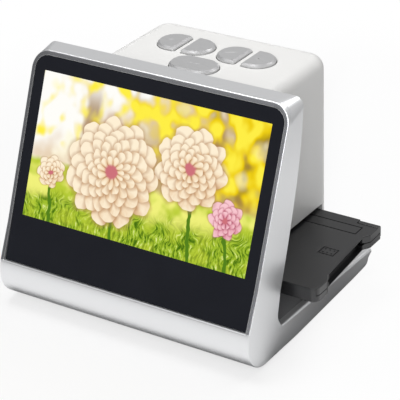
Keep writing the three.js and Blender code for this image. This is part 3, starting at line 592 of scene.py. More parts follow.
@dataclass(frozen=True)
class GardenPicture:
    """The display's generic picture: cream flowers before blurred yellow trees and grass."""

    width: float
    height: float
    origin: Triple
    up: Triple
    seed: int = 7
    discs: int = 22
    blooms: tuple[Bloom, ...] = (
        Bloom(across=97.5, up=20.5, radius=8.0, petals=7, turn=0.9, rings=4,
              light=(0.95, 0.58, 0.63), middle=(0.72, 0.26, 0.34), deep=(0.36, 0.08, 0.12)),
        Bloom(across=78.0, up=37.0, radius=17.5, petals=9, turn=0.4, rings=6),
        Bloom(across=41.0, up=27.5, radius=23.0, petals=11, turn=0.0, rings=7),
        Bloom(across=10.5, up=21.0, radius=7.5, petals=7, turn=1.1, rings=4),
    )
    trunks: tuple[tuple[float, float, float, float], ...] = (
        (27.5, 2.6, 21.0, 0.8), (49.0, 1.7, 24.0, 0.55), (88.0, 2.2, 26.0, 0.7), (103.0, 3.2, 24.0, 0.8),
    )
    tints: tuple[Colour, ...] = ((1.0, 0.84, 0.01), (1.0, 0.90, 0.10), (0.86, 0.66, 0.01), (1.0, 0.97, 0.62))

    def trees(self, sheet: Sheet, u: Value, v: Value) -> bpy.types.NodeSocket:
        """The blurred trees and sky behind the garden.

        Args:
            sheet: The material's nodes.
            u: Millimetres across the picture.
            v: Millimetres up the picture.

        Returns:
            The colour.
        """
        cloud = sheet.noise(0.07, 2.0, sheet.combined(u, v, 3.0))
        clumps = sheet.noise(0.15, 1.0, sheet.combined(u, v * 0.8, 14.0), 0.4)
        haze = sheet.mix(cloud.rises(0.40, 0.60), (0.82, 0.66, 0.48), (1.0, 0.92, 0.70))
        haze = sheet.mix(u.rises(40.0, 75.0) * v.rises(62.0, 40.0) * 0.8, haze, (0.42, 0.30, 0.05))
        sky = (u * -0.012 + v * 0.022 + cloud * 0.5).rises(0.72, 1.0)
        colour = sheet.mix(sky, haze, (1.0, 0.99, 0.95))
        for middle, half, low, share in self.trunks:
            trunk = abs(u - middle + (cloud - 0.5) * 9.0).rises(half + 1.2, half - 1.2)
            trunk = trunk * v.rises(low, low + 5.0) * v.rises(64.0, 50.0)
            colour = sheet.mix(trunk * share, colour, (0.36, 0.20, 0.05))
        spread = u * 0.0042 + v * 0.003 + clumps * 1.15 + (cloud - 0.5) * 0.5 - 0.31
        leaves = sheet.mix(clumps.rises(0.30, 0.48), (0.34, 0.22, 0.01), (0.86, 0.62, 0.006))
        leaves = sheet.mix(clumps.rises(0.44, 0.62), leaves, (1.0, 0.86, 0.06))
        colour = sheet.mix(spread.rises(0.46, 0.78) * v.rises(22.0, 32.0), colour, leaves)
        chance = random.Random(self.seed)
        wobble = (clumps - 0.5) * 9.0
        for _ in range(self.discs):
            across, up = self.width * chance.uniform(0.0, 1.0) ** 0.6, chance.uniform(28.0, self.height)
            radius = chance.uniform(1.2, 3.6)
            away = ((u - across) * (u - across) + (v - up) * (v - up)).math("SQRT") + wobble
            shown = away.rises(radius + 1.8, radius - 1.6) * chance.uniform(0.3, 0.75)
            colour = sheet.mix(shown, colour, chance.choice(self.tints))
        return colour

    def grass(self, sheet: Sheet, u: Value, v: Value, under: bpy.types.NodeSocket) -> bpy.types.NodeSocket:
        """The lawn: a bright far edge and sharp near blades.

        Args:
            sheet: The material's nodes.
            u: Millimetres across the picture.
            v: Millimetres up the picture.
            under: The colour behind it.

        Returns:
            The colour.
        """
        lean = sheet.noise(0.12, 1.0, sheet.combined(u, v, 5.0)) - 0.5
        slant = sheet.combined(u + v * lean * 1.6, v * 0.28, 0.0)
        blades = sheet.noise(0.95, 4.0, slant, 0.62)
        patches = sheet.noise(0.10, 2.0, sheet.combined(u, v, 9.0))
        far = sheet.mix(patches.rises(0.4, 0.6), (0.50, 0.62, 0.04), (0.88, 0.88, 0.20))
        near = sheet.mix(blades.rises(0.38, 0.56), (0.06, 0.16, 0.005), (0.37, 0.54, 0.03))
        near = sheet.mix(blades.rises(0.56, 0.68), near, (0.78, 0.86, 0.30))
        near = sheet.mix(patches.rises(0.45, 0.62) * 0.4, near, (0.60, 0.68, 0.05))
        edge = (patches - 0.5) * 7.0 + v
        lawn = sheet.mix((edge - u * 0.05).rises(15.0, 6.0), far, near)
        return sheet.mix(edge.rises(26.5, 23.5), under, lawn)

    def material(self) -> bpy.types.Material:
        """Builds the picture as light from the panel, behind a clear surface.

        Returns:
            The material.
        """
        sheet = Sheet("display_picture_finish")
        u = sheet.along((1.0, 0.0, 0.0), self.origin)
        v = sheet.along(self.up, self.origin)
        colour = self.trees(sheet, u, v)
        colour = self.grass(sheet, u, v, colour)
        sway = sheet.noise(0.13, 2.0) - 0.5
        swell = sheet.noise(0.11, 2.0, sheet.combined(v, u, 30.0)) - 0.5
        for flower in self.blooms:
            colour = flower.draw(sheet, u + sway * 4.5, v + swell * 4.5, colour)
        return sheet.surface(
            Base_Color=(0.0, 0.0, 0.0),
            Roughness=sheet.noise(0.05, 2.0) * 0.05 + 0.05,
            Specular_IOR_Level=0.06,
            Emission_Color=colour,
            Emission_Strength=1.0,
        )


# Outlines


def arc(centre: Point, radius: float, start: float, end: float, steps: int) -> list[Point]:
    """Points along an arc; the angles are in degrees."""
    angles = [math.radians(start + (end - start) * step / steps) for step in range(steps + 1)]
    return [(centre[0] + radius * math.cos(a), centre[1] + radius * math.sin(a)) for a in angles]


def curve(start: Point, bend: Point, end: Point, steps: int) -> list[Point]:
    """Points along a curve that leaves towards its bend and arrives from it.

    Args:
        start: Where it leaves.
        bend: What it leaves towards and arrives from.
        end: Where it arrives.
        steps: How many steps it takes.

    Returns:
        The curve's points.
    """
    points = []
    for step in range(steps + 1):
        t = step / steps
        weights = ((1 - t) ** 2, 2 * t * (1 - t), t * t)
        points.append(tuple(sum(w * p[i] for w, p in zip(weights, (start, bend, end))) for i in (0, 1)))
    return points


def rounded(corners: Sequence[Corner], steps: int = 8) -> list[Point]:
    """Points of a closed outline whose corners are (x, y) or (x, y, radius).

    Args:
        corners: The corners in order.
        steps: How many steps each rounded corner takes.

    Returns:
        The outline's points.
    """
    points: list[Point] = []
    for index, corner in enumerate(corners):
        here = Vector(corner[:2])
        radius = corner[2] if len(corner) > 2 else 0.0
        if radius <= 0:
            points.append((here.x, here.y))
            continue
        to_last = (Vector(corners[index - 1][:2]) - here).normalized()
        to_next = (Vector(corners[(index + 1) % len(corners)][:2]) - here).normalized()
        half = to_last.angle(to_next) / 2
        centre = here + (to_last + to_next).normalized() * (radius / math.sin(half))
        start = here + to_last * (radius / math.tan(half)) - centre
        end = here + to_next * (radius / math.tan(half)) - centre
        first = math.atan2(start.y, start.x)
        turn = math.atan2(start.x * end.y - start.y * end.x, start.dot(end))
        for step in range(steps + 1):
            angle = first + turn * step / steps
            points.append((centre.x + radius * math.cos(angle), centre.y + radius * math.sin(angle)))
    return points


def rectangle(centre: Point, width: float, height: float, radius: float = 0.0, steps: int = 8) -> list[Point]:
    """A rectangle about a centre with all corners rounded alike.

    Args:
        centre: Its middle.
        width: Its width.
        height: Its height.
        radius: The radius of its corners.
        steps: How many steps each corner takes.

    Returns:
        The outline's points.
    """
    x, y = width / 2, height / 2
    corners = ((-x, -y), (x, -y), (x, y), (-x, y))
    return rounded([(centre[0] + cx, centre[1] + cy, radius) for cx, cy in corners], steps)


def signed_area(outline: Sequence[Point]) -> float:
    """Twice the area of an outline, negative where it runs clockwise."""
    pairs = zip(outline, [*outline[1:], outline[0]])
    return sum(a[0] * b[1] - b[0] * a[1] for a, b in pairs)


def drawn_in(outline: Sequence[Point], amounts: Sequence[float]) -> list[Point]:
    """Moves each point of an outline inwards by its own amount.

    Args:
        outline: The closed outline.
        amounts: How far each point goes.

    Returns:
        The moved points, in the same order.
    """
    side = 1.0 if signed_area(outline) > 0 else -1.0
    moved = []
    for index, point in enumerate(outline):
        here = Vector(point)
        before = (here - Vector(outline[index - 1])).normalized()
        after = (Vector(outline[(index + 1) % len(outline)]) - here).normalized()
        first = Vector((-before.y, before.x)) * side
        second = Vector((-after.y, after.x)) * side
        step = (first + second) / max(1.0 + first.dot(second), 0.2)
        moved.append(tuple(here + step * amounts[index]))
    return moved


def doorway(half: float, low: float, high: float, corner: float = 0.0) -> list[Corner]:
    """The corners of a shape about the middle, square below and rounded above."""
    upper = (high, corner) if corner else (high,)
    return [(-half, low), (half, low), (half, *upper), (-half, *upper)]


# Solids


def in_scene(name: str, data: bpy.types.ID) -> bpy.types.Object:
    """A new object that is linked to the scene.

    Args:
        name: The object's name.
        data: Its mesh, camera or lamp.

    Returns:
        The object.
    """
    made = bpy.data.objects.new(name, data)
    bpy.context.scene.collection.objects.link(made)
    return made


class Form:
    """A closed solid in millimetres, while it is built."""

    def __init__(self, mesh: bpy.types.Mesh) -> None:
        """Holds a mesh."""
        self.mesh = mesh

    @classmethod
    def from_rings(cls, rings: Sequence[Sequence[Vector]]) -> "Form":
        """A skin through rings of equal length, closed at both ends.

        Args:
            rings: The rings from one end to the other.

        Returns:
            The solid.
        """
        bm = bmesh.new()
        rows = [[bm.verts.new(point) for point in ring] for ring in rings]
        cls.skin(bm, rows)
        bm.faces.new(rows[0])
        bm.faces.new(rows[-1])
        return cls.from_bmesh(bm)

    @staticmethod
    def skin(bm: bmesh.types.BMesh, rows: Sequence[Sequence[bmesh.types.BMVert]]) -> None:
        """Adds the faces between neighbouring rows of vertices.

        Args:
            bm: The bmesh that they are in.
            rows: The rows, of equal length.
        """
        for row, following in zip(rows, rows[1:]):
            for index, corner in enumerate(row):
                after = (index + 1) % len(row)
                bm.faces.new((corner, row[after], following[after], following[index]))

    @classmethod
    def from_bmesh(cls, bm: bmesh.types.BMesh) -> "Form":
        """Closes, cleans and keeps a bmesh.

        Args:
            bm: The bmesh, which is freed.

        Returns:
            The solid.
        """
        bmesh.ops.remove_doubles(bm, verts=bm.verts, dist=TOUCH / 10)
        bmesh.ops.dissolve_degenerate(bm, edges=bm.edges, dist=TOUCH / 10)
        bmesh.ops.recalc_face_normals(bm, faces=bm.faces)
        mesh = bpy.data.meshes.new("form")
        bm.to_mesh(mesh)
        bm.free()
        return cls(mesh)

    @classmethod
    def prism(
        cls,
        axis: Axis,
        outline: Sequence[Point],
        low: float,
        high: float,
        low_edge: float | Sequence[float] = 0.0,
        high_edge: float | Sequence[float] = 0.0,
        steps: int = 5,
    ) -> "Form":
        """Pushes an outline along an axis, with rounded edges at its ends.

        Args:
            axis: The direction.
            outline: The closed outline.
            low: Where it starts.
            high: Where it ends.
            low_edge: The edge radius at the low end, for all points or for each.
            high_edge: The same at the high end.
            steps: How many steps a rounded edge takes.

        Returns:
            The solid.
        """
        rings = []
        for end, edge, inwards in ((low, low_edge, 1.0), (high, high_edge, -1.0)):
            radii = [edge] * len(outline) if isinstance(edge, (int, float)) else list(edge)
            part = []
            if max(radii) <= 0:
                part.append([axis.place(point, end) for point in outline])
            else:
                for step in range(steps + 1):
                    angle = math.pi / 2 * step / steps
                    inset = drawn_in(outline, [radius * (1 - math.sin(angle)) for radius in radii])
                    depths = [end + inwards * radius * (1 - math.cos(angle)) for radius in radii]
                    part.append([axis.place(point, depth) for point, depth in zip(inset, depths)])
            rings.extend(part if inwards > 0 else reversed(part))
        return cls.from_rings(rings)

    @classmethod
    def block(cls, low: Triple, high: Triple) -> "Form":
        """A plain block between two corners."""
        outline = [(low[0], low[1]), (high[0], low[1]), (high[0], high[1]), (low[0], high[1])]
        return cls.prism(Axis.Z, outline, low[2], high[2])

    @classmethod
    def turned(cls, profile: Sequence[Point], sides: int = 40) -> "Form":
        """Turns a profile of (radius, height) points about the upright axis.

        Args:
            profile: The points from the axis round to the axis.
            sides: How many steps the turn takes.

        Returns:
            The solid.
        """
        bm = bmesh.new()
        angles = [2 * math.pi * side / sides for side in range(sides)]
        rows = [
            [bm.verts.new((radius * math.cos(a), radius * math.sin(a), height)) for a in angles]
            for radius, height in profile
        ]
        cls.skin(bm, rows)
        return cls.from_bmesh(bm)

    @classmethod
    def both_sides(cls, sections: Sequence[tuple[float, Sequence[Point]]]) -> list["Form"]:
        """Skins through outlines that stand at depths along Y, on the right and mirrored on the left.

        Args:
            sections: Each outline's depth and its points for the right side.

        Returns:
            The right and the left solid.
        """
        made = []
        for side in (1, -1):
            rings = [[Axis.Y.place((side * x, z), y) for x, z in outline] for y, outline in sections]
            made.append(cls.from_rings(rings))
        return made

    def moved(self, matrix: Matrix) -> "Form":
        """Moves the solid."""
        self.mesh.transform(matrix)
        return self

    def at(self, x: float, y: float, z: float) -> "Form":
        """Shifts the solid."""
        return self.moved(Matrix.Translation((x, y, z)))

    def combined(self, others: Sequence["Form"], operation: str) -> "Form":
        """Joins or cuts with other solids.

        Args:
            others: The other solids.
            operation: UNION, DIFFERENCE or INTERSECT.

        Returns:
            The new solid.
        """
        host = in_scene("host", self.mesh)
        tools = [in_scene("tool", other.mesh) for other in others]
        for tool in tools:
            modifier = host.modifiers.new("join", "BOOLEAN")
            modifier.operation = operation
            modifier.solver = "EXACT"
            modifier.object = tool
        graph = bpy.context.evaluated_depsgraph_get()
        mesh = bpy.data.meshes.new_from_object(host.evaluated_get(graph))
        for item in (host, *tools):
            bpy.data.objects.remove(item)
        return Form(mesh)

    def cut(self, *tools: "Form") -> "Form":
        """Cuts other solids out."""
        return self.combined(tools, "DIFFERENCE")

    def joined(self, *others: "Form") -> "Form":
        """Joins other solids on."""
        return self.combined(others, "UNION")

    def piece(
        self,
        name: str,
        body: str,
        slot: Slot,
        finishes: Sequence[bpy.types.Material],
        replaces: Sequence[str] = (),
        smooth_angle: float = 28.0,
    ) -> bpy.types.Object:
        """Makes the finished piece, in metres.

        Args:
            name: The piece's name.
            body: The body that it rides on.
            slot: The record's material slot; not used.
            finishes: Its materials, the main one first.
            replaces: The nodes that it stands for.
            smooth_angle: The sharpest angle in degrees that still shades smoothly.

        Returns:
            The object.
        """
        mesh = self.mesh
        mesh.name = name
        mesh.transform(Matrix.Scale(MM, 4))
        for polygon in mesh.polygons:
            polygon.use_smooth = True
        mesh.set_sharp_from_angle(angle=math.radians(smooth_angle))
        places = [polygon.material_index for polygon in mesh.polygons]
        mesh.materials.clear()
        for finish in finishes:
            mesh.materials.append(finish)
        mesh.polygons.foreach_set("material_index", places)
        made = in_scene(name, mesh)
        weighted = made.modifiers.new("even_shading", "WEIGHTED_NORMAL")
        weighted.keep_sharp = True
        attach(made, body)
        if replaces:
            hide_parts(*replaces)
        return made


@dataclass
class Extent:
    """The room that a node takes, in millimetres."""

    low: Vector
    high: Vector

    @classmethod
    def of(cls, node: str) -> "Extent":
        """Reads a node's box from the frame."""
        low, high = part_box(node)
        return cls(low / MM, high / MM)

    @property
    def middle(self) -> Vector:
        """The middle of the box."""
        return (self.low + self.high) / 2

    @property
    def size(self) -> Vector:
        """The sides of the box."""
        return self.high - self.low


@dataclass
class Lean:
    """The slab's own directions: across, back from its front plane, and up its slope."""

    front: float
    angle: float = math.radians(21.75)
    foot_ahead: float = 2.9
    foot_height: float = 8.7

    def place(self, up: float, back: float) -> Point:
        """The side view place (y, z) of a point on the slab.

        Args:
            up: How far up the slope it is.
            back: How far behind the slab's front plane it is.

        Returns:
            The place.
        """
        return (
            self.front - self.foot_ahead + up * math.sin(self.angle) + back * math.cos(self.angle),
            self.foot_height + up * math.cos(self.angle) - back * math.sin(self.angle),
        )

    def matrix(self) -> Matrix:
        """Turns (across, back, up) into the frame's directions.

        Returns:
            The matrix.
        """
        sine, cosine = math.sin(self.angle), math.cos(self.angle)
        y, z = self.place(0, 0)
        return Matrix(((1, 0, 0, 0), (0, cosine, sine, y), (0, -sine, cosine, z), (0, 0, 0, 1)))

    def direction(self) -> Triple:
        """The direction up the slope."""
        return (0.0, math.sin(self.angle), math.cos(self.angle))


# The silver body with its display


@dataclass
class Body:
    """The silver slab, nose, foot and base, in one lacquered skin."""

    lean: Lean
    frame_box: Extent
    base_box: Extent
    wall: float = 2.2
    gap: float = 0.3
    nose_radius: float = 13.1
    lip_up: float = 12.8
    lip_proud: float = 0.9
    lip_blend_up: float = 29.8
    lip_back: float = 0.2
    lip_down: float = 0.66
    ring_up: float = 102.9
    ring_width: float = 1.7
    ring_depth: float = 0.12
    ring_round: float = 0.38
    ring_line: float = 0.05
    ring_corner: float = 6.35
    seat_inset: float = 0.1
    seat_depth: float = 1.6
    ledge_depth: float = 5.6
    display_half: float = 59.3
    display_low: float = 27.2
    display_high: float = 99.8
    corner_radius: float = 8.0
    corner_back_radius: float = 4.5
    back_top: float = -6.7
    back_bend: float = -7.5
    back_bend_drop: float = 26.0
    back_low: Point = (-26.2, 29.0)
    notch: Point = (-28.8, 17.5)
    notch_radius: float = 4.5
    seam: float = -22.35
    rim_front: float = 12.4
    rim_back: float = 10.6
    rim_width: float = 3.0
    rim_edge: float = 1.2
    slab_edge: float = 0.7
    end_edge: float = 0.5
    tuck_back: float = 5.2
    tuck_start: float = -14.0
    floor_top: float = 3.4
    tray_corner: float = 2.0
    window_half: float = 39.0
    window_low: float = 20.0
    window_high: float = 94.0
    back_steps: int = 16
    corner_steps: int = 14
    corner_start: float = 1.2
    edge_room: float = 0.4
    edge_growth: float = 0.9
    under_pitch: float = 10.0
    under_points: int = 8
    rim_points: int = 8
    lip_more: float = 0.3
    ring_ahead: float = 1.5
    ring_behind: float = 0.6
    flat_facing: float = 0.96
    round_facing: float = 0.3
    lip_facing: float = 0.98

    def __post_init__(self) -> None:
        """Reads the body's outer limits from its boxes."""
        self.half, self.front, self.back = self.frame_box.high.x, self.frame_box.low.y, self.base_box.high.y
        self.under, self.top = self.frame_box.low.z, self.frame_box.high.z

    def slab_back(self, offset: float = 0.0) -> list[Point]:
        """The slab's back from its top down to the notch, moved back by an offset.

        Args:
            offset: How far back it is moved.

        Returns:
            The points, as y and z.
        """
        bend = (self.back_bend, self.top - self.back_bend_drop)
        points = curve((self.back_top, self.top), bend, self.back_low, self.back_steps)
        return [(y + offset, z) for y, z in points]

    def tuck(self, y: float) -> float:
        """The radius of the bottom edge at a place along the body."""
        share = (y - self.tuck_start) / (self.back - self.tuck_start)
        return self.end_edge + (self.tuck_back - self.end_edge) * min(max(share, 0.0), 1.0)

    def side_outline(self) -> tuple[list[Point], list[float]]:
        """The body from the side, with the radius of its end edge at each point.

        Returns:
            The outline's points and their edge radii.
        """
        front, back, under = self.front, self.back, self.under
        corner = self.tuck_back + self.edge_room
        placed = [(p, self.tuck_back) for p in arc((back - corner, under + corner), corner, 0, -90, 8)]
        for step in range(1, self.under_points + 1):
            y = back - corner - self.under_pitch * step
            placed.append(((y, under), self.tuck(y)))
        nose = self.nose_radius
        placed += [(p, self.end_edge) for p in arc((front + nose, under + nose), nose, -90, -180, 16)]
        lip = self.lean.place(self.lip_up, -self.lip_proud)
        bend_up = (lip[0] - front) / math.tan(self.lean.angle)
        sweep = curve((front, under + nose), (front, lip[1] - bend_up), lip, 6)[1:]
        placed += [(p, self.end_edge) for p in sweep]
        plane_up = (self.top - self.lean.foot_height) / math.cos(self.lean.angle)
        placed += [(self.lean.place(up, 0), self.ring_line) for up in (self.lip_blend_up, plane_up)]
        placed += [(p, self.slab_edge) for p in self.slab_back()]
        rim_start = (self.back_low[0], self.rim_front, self.notch_radius / 2)
        slab_end, rim_end = (*self.back_low, 0.0), (back, self.rim_back, 0.0)
        valley = rounded([slab_end, (*self.notch, self.notch_radius), rim_start, rim_end], 10)
        placed += [(p, self.slab_edge) for p in valley[1:-1]]
        top_corner = self.rim_edge + self.edge_room
        for step in range(1, self.rim_points):
            y = self.seam + (back - top_corner - self.seam) * step / self.rim_points
            z = self.rim_front + (self.rim_back - self.rim_front) * (y - self.seam) / (back - self.seam)
            placed.append(((y, z), min(self.slab_edge + step * self.edge_growth, self.rim_edge)))
        middle = (back - top_corner, self.rim_back - top_corner)
        placed += [(p, self.rim_edge) for p in arc(middle, top_corner, 90, 0, 6)]
        return [point for point, _ in placed], [edge for _, edge in placed]

    def ring_cutter(self) -> Form:
        """The wedge that cuts the chamfer round the front glass, along both sides and over the top.

        Returns:
            The cutter.
        """
        half, top, depth = self.half, self.top, self.ring_depth
        inner_half = half - self.ring_width
        inner_centre = (inner_half - self.ring_corner, self.ring_up - self.ring_corner)
        sine, cosine = math.sin(self.lean.angle), math.cos(self.lean.angle)
        outer_top = (top - self.lean.foot_height + depth * sine) / cosine
        outer_centre_up = (top - self.corner_radius - self.lean.foot_height + depth * sine) / cosine
        outer_half = (self.corner_radius, outer_top - outer_centre_up)
        stations: list[tuple[Point, Point, float]] = [
            ((inner_half, self.lip_up), (half, self.lip_up), self.lip_proud),
            ((inner_half, self.lip_blend_up), (half, self.lip_blend_up), 0.0),
        ]
        for step in range(self.corner_steps + 1):
            angle = math.pi / 2 * step / self.corner_steps
            turn = (math.cos(angle), math.sin(angle))
            inner = tuple(inner_centre[i] + self.ring_corner * turn[i] for i in (0, 1))
            centre = (half - self.corner_radius, outer_centre_up)
            stations.append((inner, tuple(centre[i] + outer_half[i] * turn[i] for i in (0, 1)), 0.0))
        stations += [((-a[0], a[1]), (-b[0], b[1]), lift) for a, b, lift in reversed(stations)]
        rings = [self.ring_section(*station) for station in stations]
        return Form.from_rings(rings).moved(self.lean.matrix())

    def ring_section(self, inner: Point, outer: Point, lift: float) -> list[Vector]:
        """The cutter's section at one place: the chamfer, then a small round onto the outer face.

        Args:
            inner: The chamfer's inner line, across and up, in the slab's front plane.
            outer: Its outer line, at the chamfer's depth.
            lift: How far it stands ahead of the slab's front plane.

        Returns:
            The section's points, across, back and up.
        """
        start = Vector((inner[0], -lift, inner[1]))
        end = Vector((outer[0], self.ring_depth - lift, outer[1]))
        slope = end - start
        outward = Vector((slope.x, 0.0, slope.z)).normalized()
        onward = Vector((0.0, math.cos(self.lean.angle), math.sin(self.lean.angle) * outward.z)).normalized()
        first = end - slope.normalized() * self.ring_round
        last = end + onward * self.ring_round
        bend = [first * (1 - t) ** 2 + end * (2 * t * (1 - t)) + last * t**2 for t in (0, 0.25, 0.5, 0.75, 1)]
        near = start - slope * 0.6
        far = last + onward * OVERRUN + outward * 0.2
        front = near - Vector((0.0, OVERRUN, 0.0))
        corner = Vector((far.x, front.y, far.z)) + outward * OVERRUN
        return [front, near, *bend, far, corner]

    def corner_cutters(self) -> list[Form]:
        """What rounds the slab's two top corners.

        Returns:
            The right and the left cutter.
        """
        half, top = self.half, self.top
        start = self.lean.place(self.ring_up, 0)[0] + self.corner_start
        stations = (
            (self.front, self.corner_radius),
            (start, self.corner_radius),
            (self.back_top, self.corner_back_radius),
            (self.back, self.corner_back_radius),
        )
        above, beyond = top + OVERRUN, half + OVERRUN
        sections = []
        for y, radius in stations:
            outline = arc((half - radius, top - radius), radius, 0, 90, self.corner_steps)
            outline += [(half - radius, above), (beyond, above), (beyond, top - radius)]
            sections.append((y, outline))
        return Form.both_sides(sections)

    def room(self) -> Form:
        """The room inside the slab and its foot.

        Returns:
            The cutter.
        """
        inner_half = self.half - self.wall
        nose = (self.front + self.nose_radius, self.under + self.nose_radius)
        reach = self.seam + OVERRUN
        ledge = self.lean.place(self.ring_up - self.wall, self.ledge_depth)
        outline = [(reach, self.under + self.wall), *arc(nose, self.nose_radius - self.wall, -90, -180, 10)]
        outline += [self.lean.place(self.lip_up + self.wall, self.ledge_depth), ledge]
        outline += [p for p in self.slab_back(-self.wall) if p[1] < ledge[1]]
        outline += [(self.notch[0] - self.wall, self.notch[1]), (self.notch[0], self.rim_front - self.wall)]
        outline.append((reach, self.rim_front - self.wall))
        return Form.prism(Axis.X, outline, -inner_half, inner_half)

    def seats(self) -> list[Form]:
        """The seats of the glass and the display, and the cut along the lip.

        Returns:
            The cutters.
        """
        half = self.half - self.ring_width - self.seat_inset
        radius = self.ring_corner - self.seat_inset
        seat = rounded(doorway(half, self.lip_up, self.ring_up - self.seat_inset, radius), 12)
        opening = doorway(self.display_half, self.display_low, self.display_high)
        back, down, more = self.lip_back, self.lip_down, self.lip_more
        lip_line = [
            self.lean.place(self.lip_up + more * down, (1 + more) * back - self.lip_proud),
            self.lean.place(self.lip_up - (1 + more) * down, -more * back - self.lip_proud),
            self.lean.place(self.lip_up + down, -OVERRUN),
        ]
        matrix = self.lean.matrix()
        return [
            Form.prism(Axis.Y, seat, -OVERRUN, self.seat_depth).moved(matrix),
            Form.prism(Axis.Y, opening, -OVERRUN, self.ledge_depth + OVERRUN).moved(matrix),
            Form.prism(Axis.X, lip_line, -half - back, half + back),
        ]

    def rear_window(self) -> Form:
        """The opening in the slab's back, inside the tower.

        Returns:
            The cutter.
        """
        span = [p for p in self.slab_back() if self.window_low < p[1] < self.window_high]
        outline = [(y + OVERRUN, z) for y, z in span]
        outline += [(y - self.wall - OVERRUN, z) for y, z in reversed(span)]
        return Form.prism(Axis.X, outline, -self.window_half, self.window_half)

    def base_openings(self) -> list[Form]:
        """The base's room above its floor, and the opening of the bottom cover.

        Returns:
            The cutters.
        """
        half = self.half - self.rim_width
        tray = doorway(half, self.seam, self.back - self.rim_width, self.tray_corner)
        cover = Extent.of("bottom_cover")
        low = (cover.low.x - self.gap, cover.low.y - self.gap, -OVERRUN)
        high = (cover.high.x + self.gap, cover.high.y + self.gap, self.floor_top + OVERRUN)
        room = Form.prism(Axis.Z, rounded(tray), self.floor_top, self.rim_front + OVERRUN)
        return [room, Form.block(low, high)]

    def mark_ring(self, mesh: bpy.types.Mesh) -> None:
        """Gives the chamfer the ring's finish, and the round beyond it the lighter copy, which paints a
        highlight line.

        Args:
            mesh: The body's mesh.
        """
        inverse = self.lean.matrix().inverted()
        forward = self.lean.matrix().to_3x3() @ Vector((0, -1, 0))
        edge = self.half - self.ring_width
        for polygon in mesh.polygons:
            across, back, up = inverse @ polygon.center
            facing = polygon.normal.dot(forward)
            aside = max(abs(across) - edge + self.ring_corner, 0.0)
            above = max(up - self.ring_up + self.ring_corner, 0.0)
            outside = math.hypot(aside, above) > self.ring_corner + self.seat_inset
            near = -self.ring_ahead * self.lip_proud < back < self.ring_behind
            if outside and near and up > self.lip_up and facing > self.round_facing:
                # index 2 is the lighter copy: a painted highlight on the round, which also catches the lamps'
                # real highlight
                polygon.material_index = 1 if facing > self.flat_facing else 2

    def mark_lip(self, mesh: bpy.types.Mesh) -> None:
        """Gives the lip's cut edge the ring's lighter copy, which paints a highlight line.

        Args:
            mesh: The body's mesh.
        """
        inverse = self.lean.matrix().inverted()
        turned = self.lean.matrix().to_3x3().inverted()
        slope = Vector((-self.lip_down, self.lip_back)).normalized()
        for polygon in mesh.polygons:
            up = (inverse @ polygon.center).z
            normal = turned @ polygon.normal
            along = slope.dot((normal.y, normal.z))
            if abs(up - self.lip_up) < 2 * self.lip_down and along > self.lip_facing:
                # the lighter copy paints a highlight line along the lip's edge
                polygon.material_index = 2

    def build(self, *finishes: bpy.types.Material) -> bpy.types.Object:
        """Builds the whole skin.

        Args:
            finishes: The silver, the ring's finish and its lighter copy, which paints the highlight lines.

        Returns:
            The piece.
        """
        outline, edges = self.side_outline()
        solid = Form.prism(Axis.X, outline, -self.half, self.half, edges, edges, 7)
        solid = solid.cut(*self.corner_cutters(), self.ring_cutter())
        solid = solid.cut(self.room(), *self.seats(), self.rear_window(), *self.base_openings())
        self.mark_ring(solid.mesh)
        self.mark_lip(solid.mesh)
        return solid.piece("silver_body", "root", Slot.SILVER, finishes, ("front_frame", "base_shell"))


@dataclass
class Front:
    """The front glass and the picture that the display shows."""

    lean: Lean
    half: float = 60.55
    low: float = 13.1
    high: float = 102.6
    corner: float = 6.1
    set_back: float = 0.2
    thickness: float = 1.1
    edge: float = 0.15
    picture_half: float = 55.35
    picture_low: float = 34.0
    picture_high: float = 96.3
    print_depth: float = 0.06

    def build(self, glass: bpy.types.Material) -> list[bpy.types.Object]:
        """Builds the glass with the picture let into its face.

        Args:
            glass: The black glass finish.

        Returns:
            The glass and the picture.
        """
        outline = rounded(doorway(self.half, self.low, self.high, self.corner), 14)
        plate = Form.prism(Axis.Y, outline, self.set_back, self.set_back + self.thickness, self.edge, 0.0, 3)
        across, low, high = self.picture_half, self.picture_low, self.picture_high
        area = doorway(across, low, high)
        face = self.set_back + self.print_depth
        plate = plate.cut(Form.prism(Axis.Y, area, -OVERRUN, face))
        picture = Form.prism(Axis.Y, area, self.set_back, face)
        start = (-across, *self.lean.place(low, 0))
        finish = GardenPicture(2 * across, high - low, start, self.lean.direction()).material()
        matrix = self.lean.matrix()
        return [
            plate.moved(matrix).piece("front_glass_plate", "root", Slot.GLASS, (glass,), ("front_glass",)),
            picture.moved(matrix).piece("display_picture", "root", Slot.DISPLAY, (finish,)),
        ]


# The white tower and its buttons


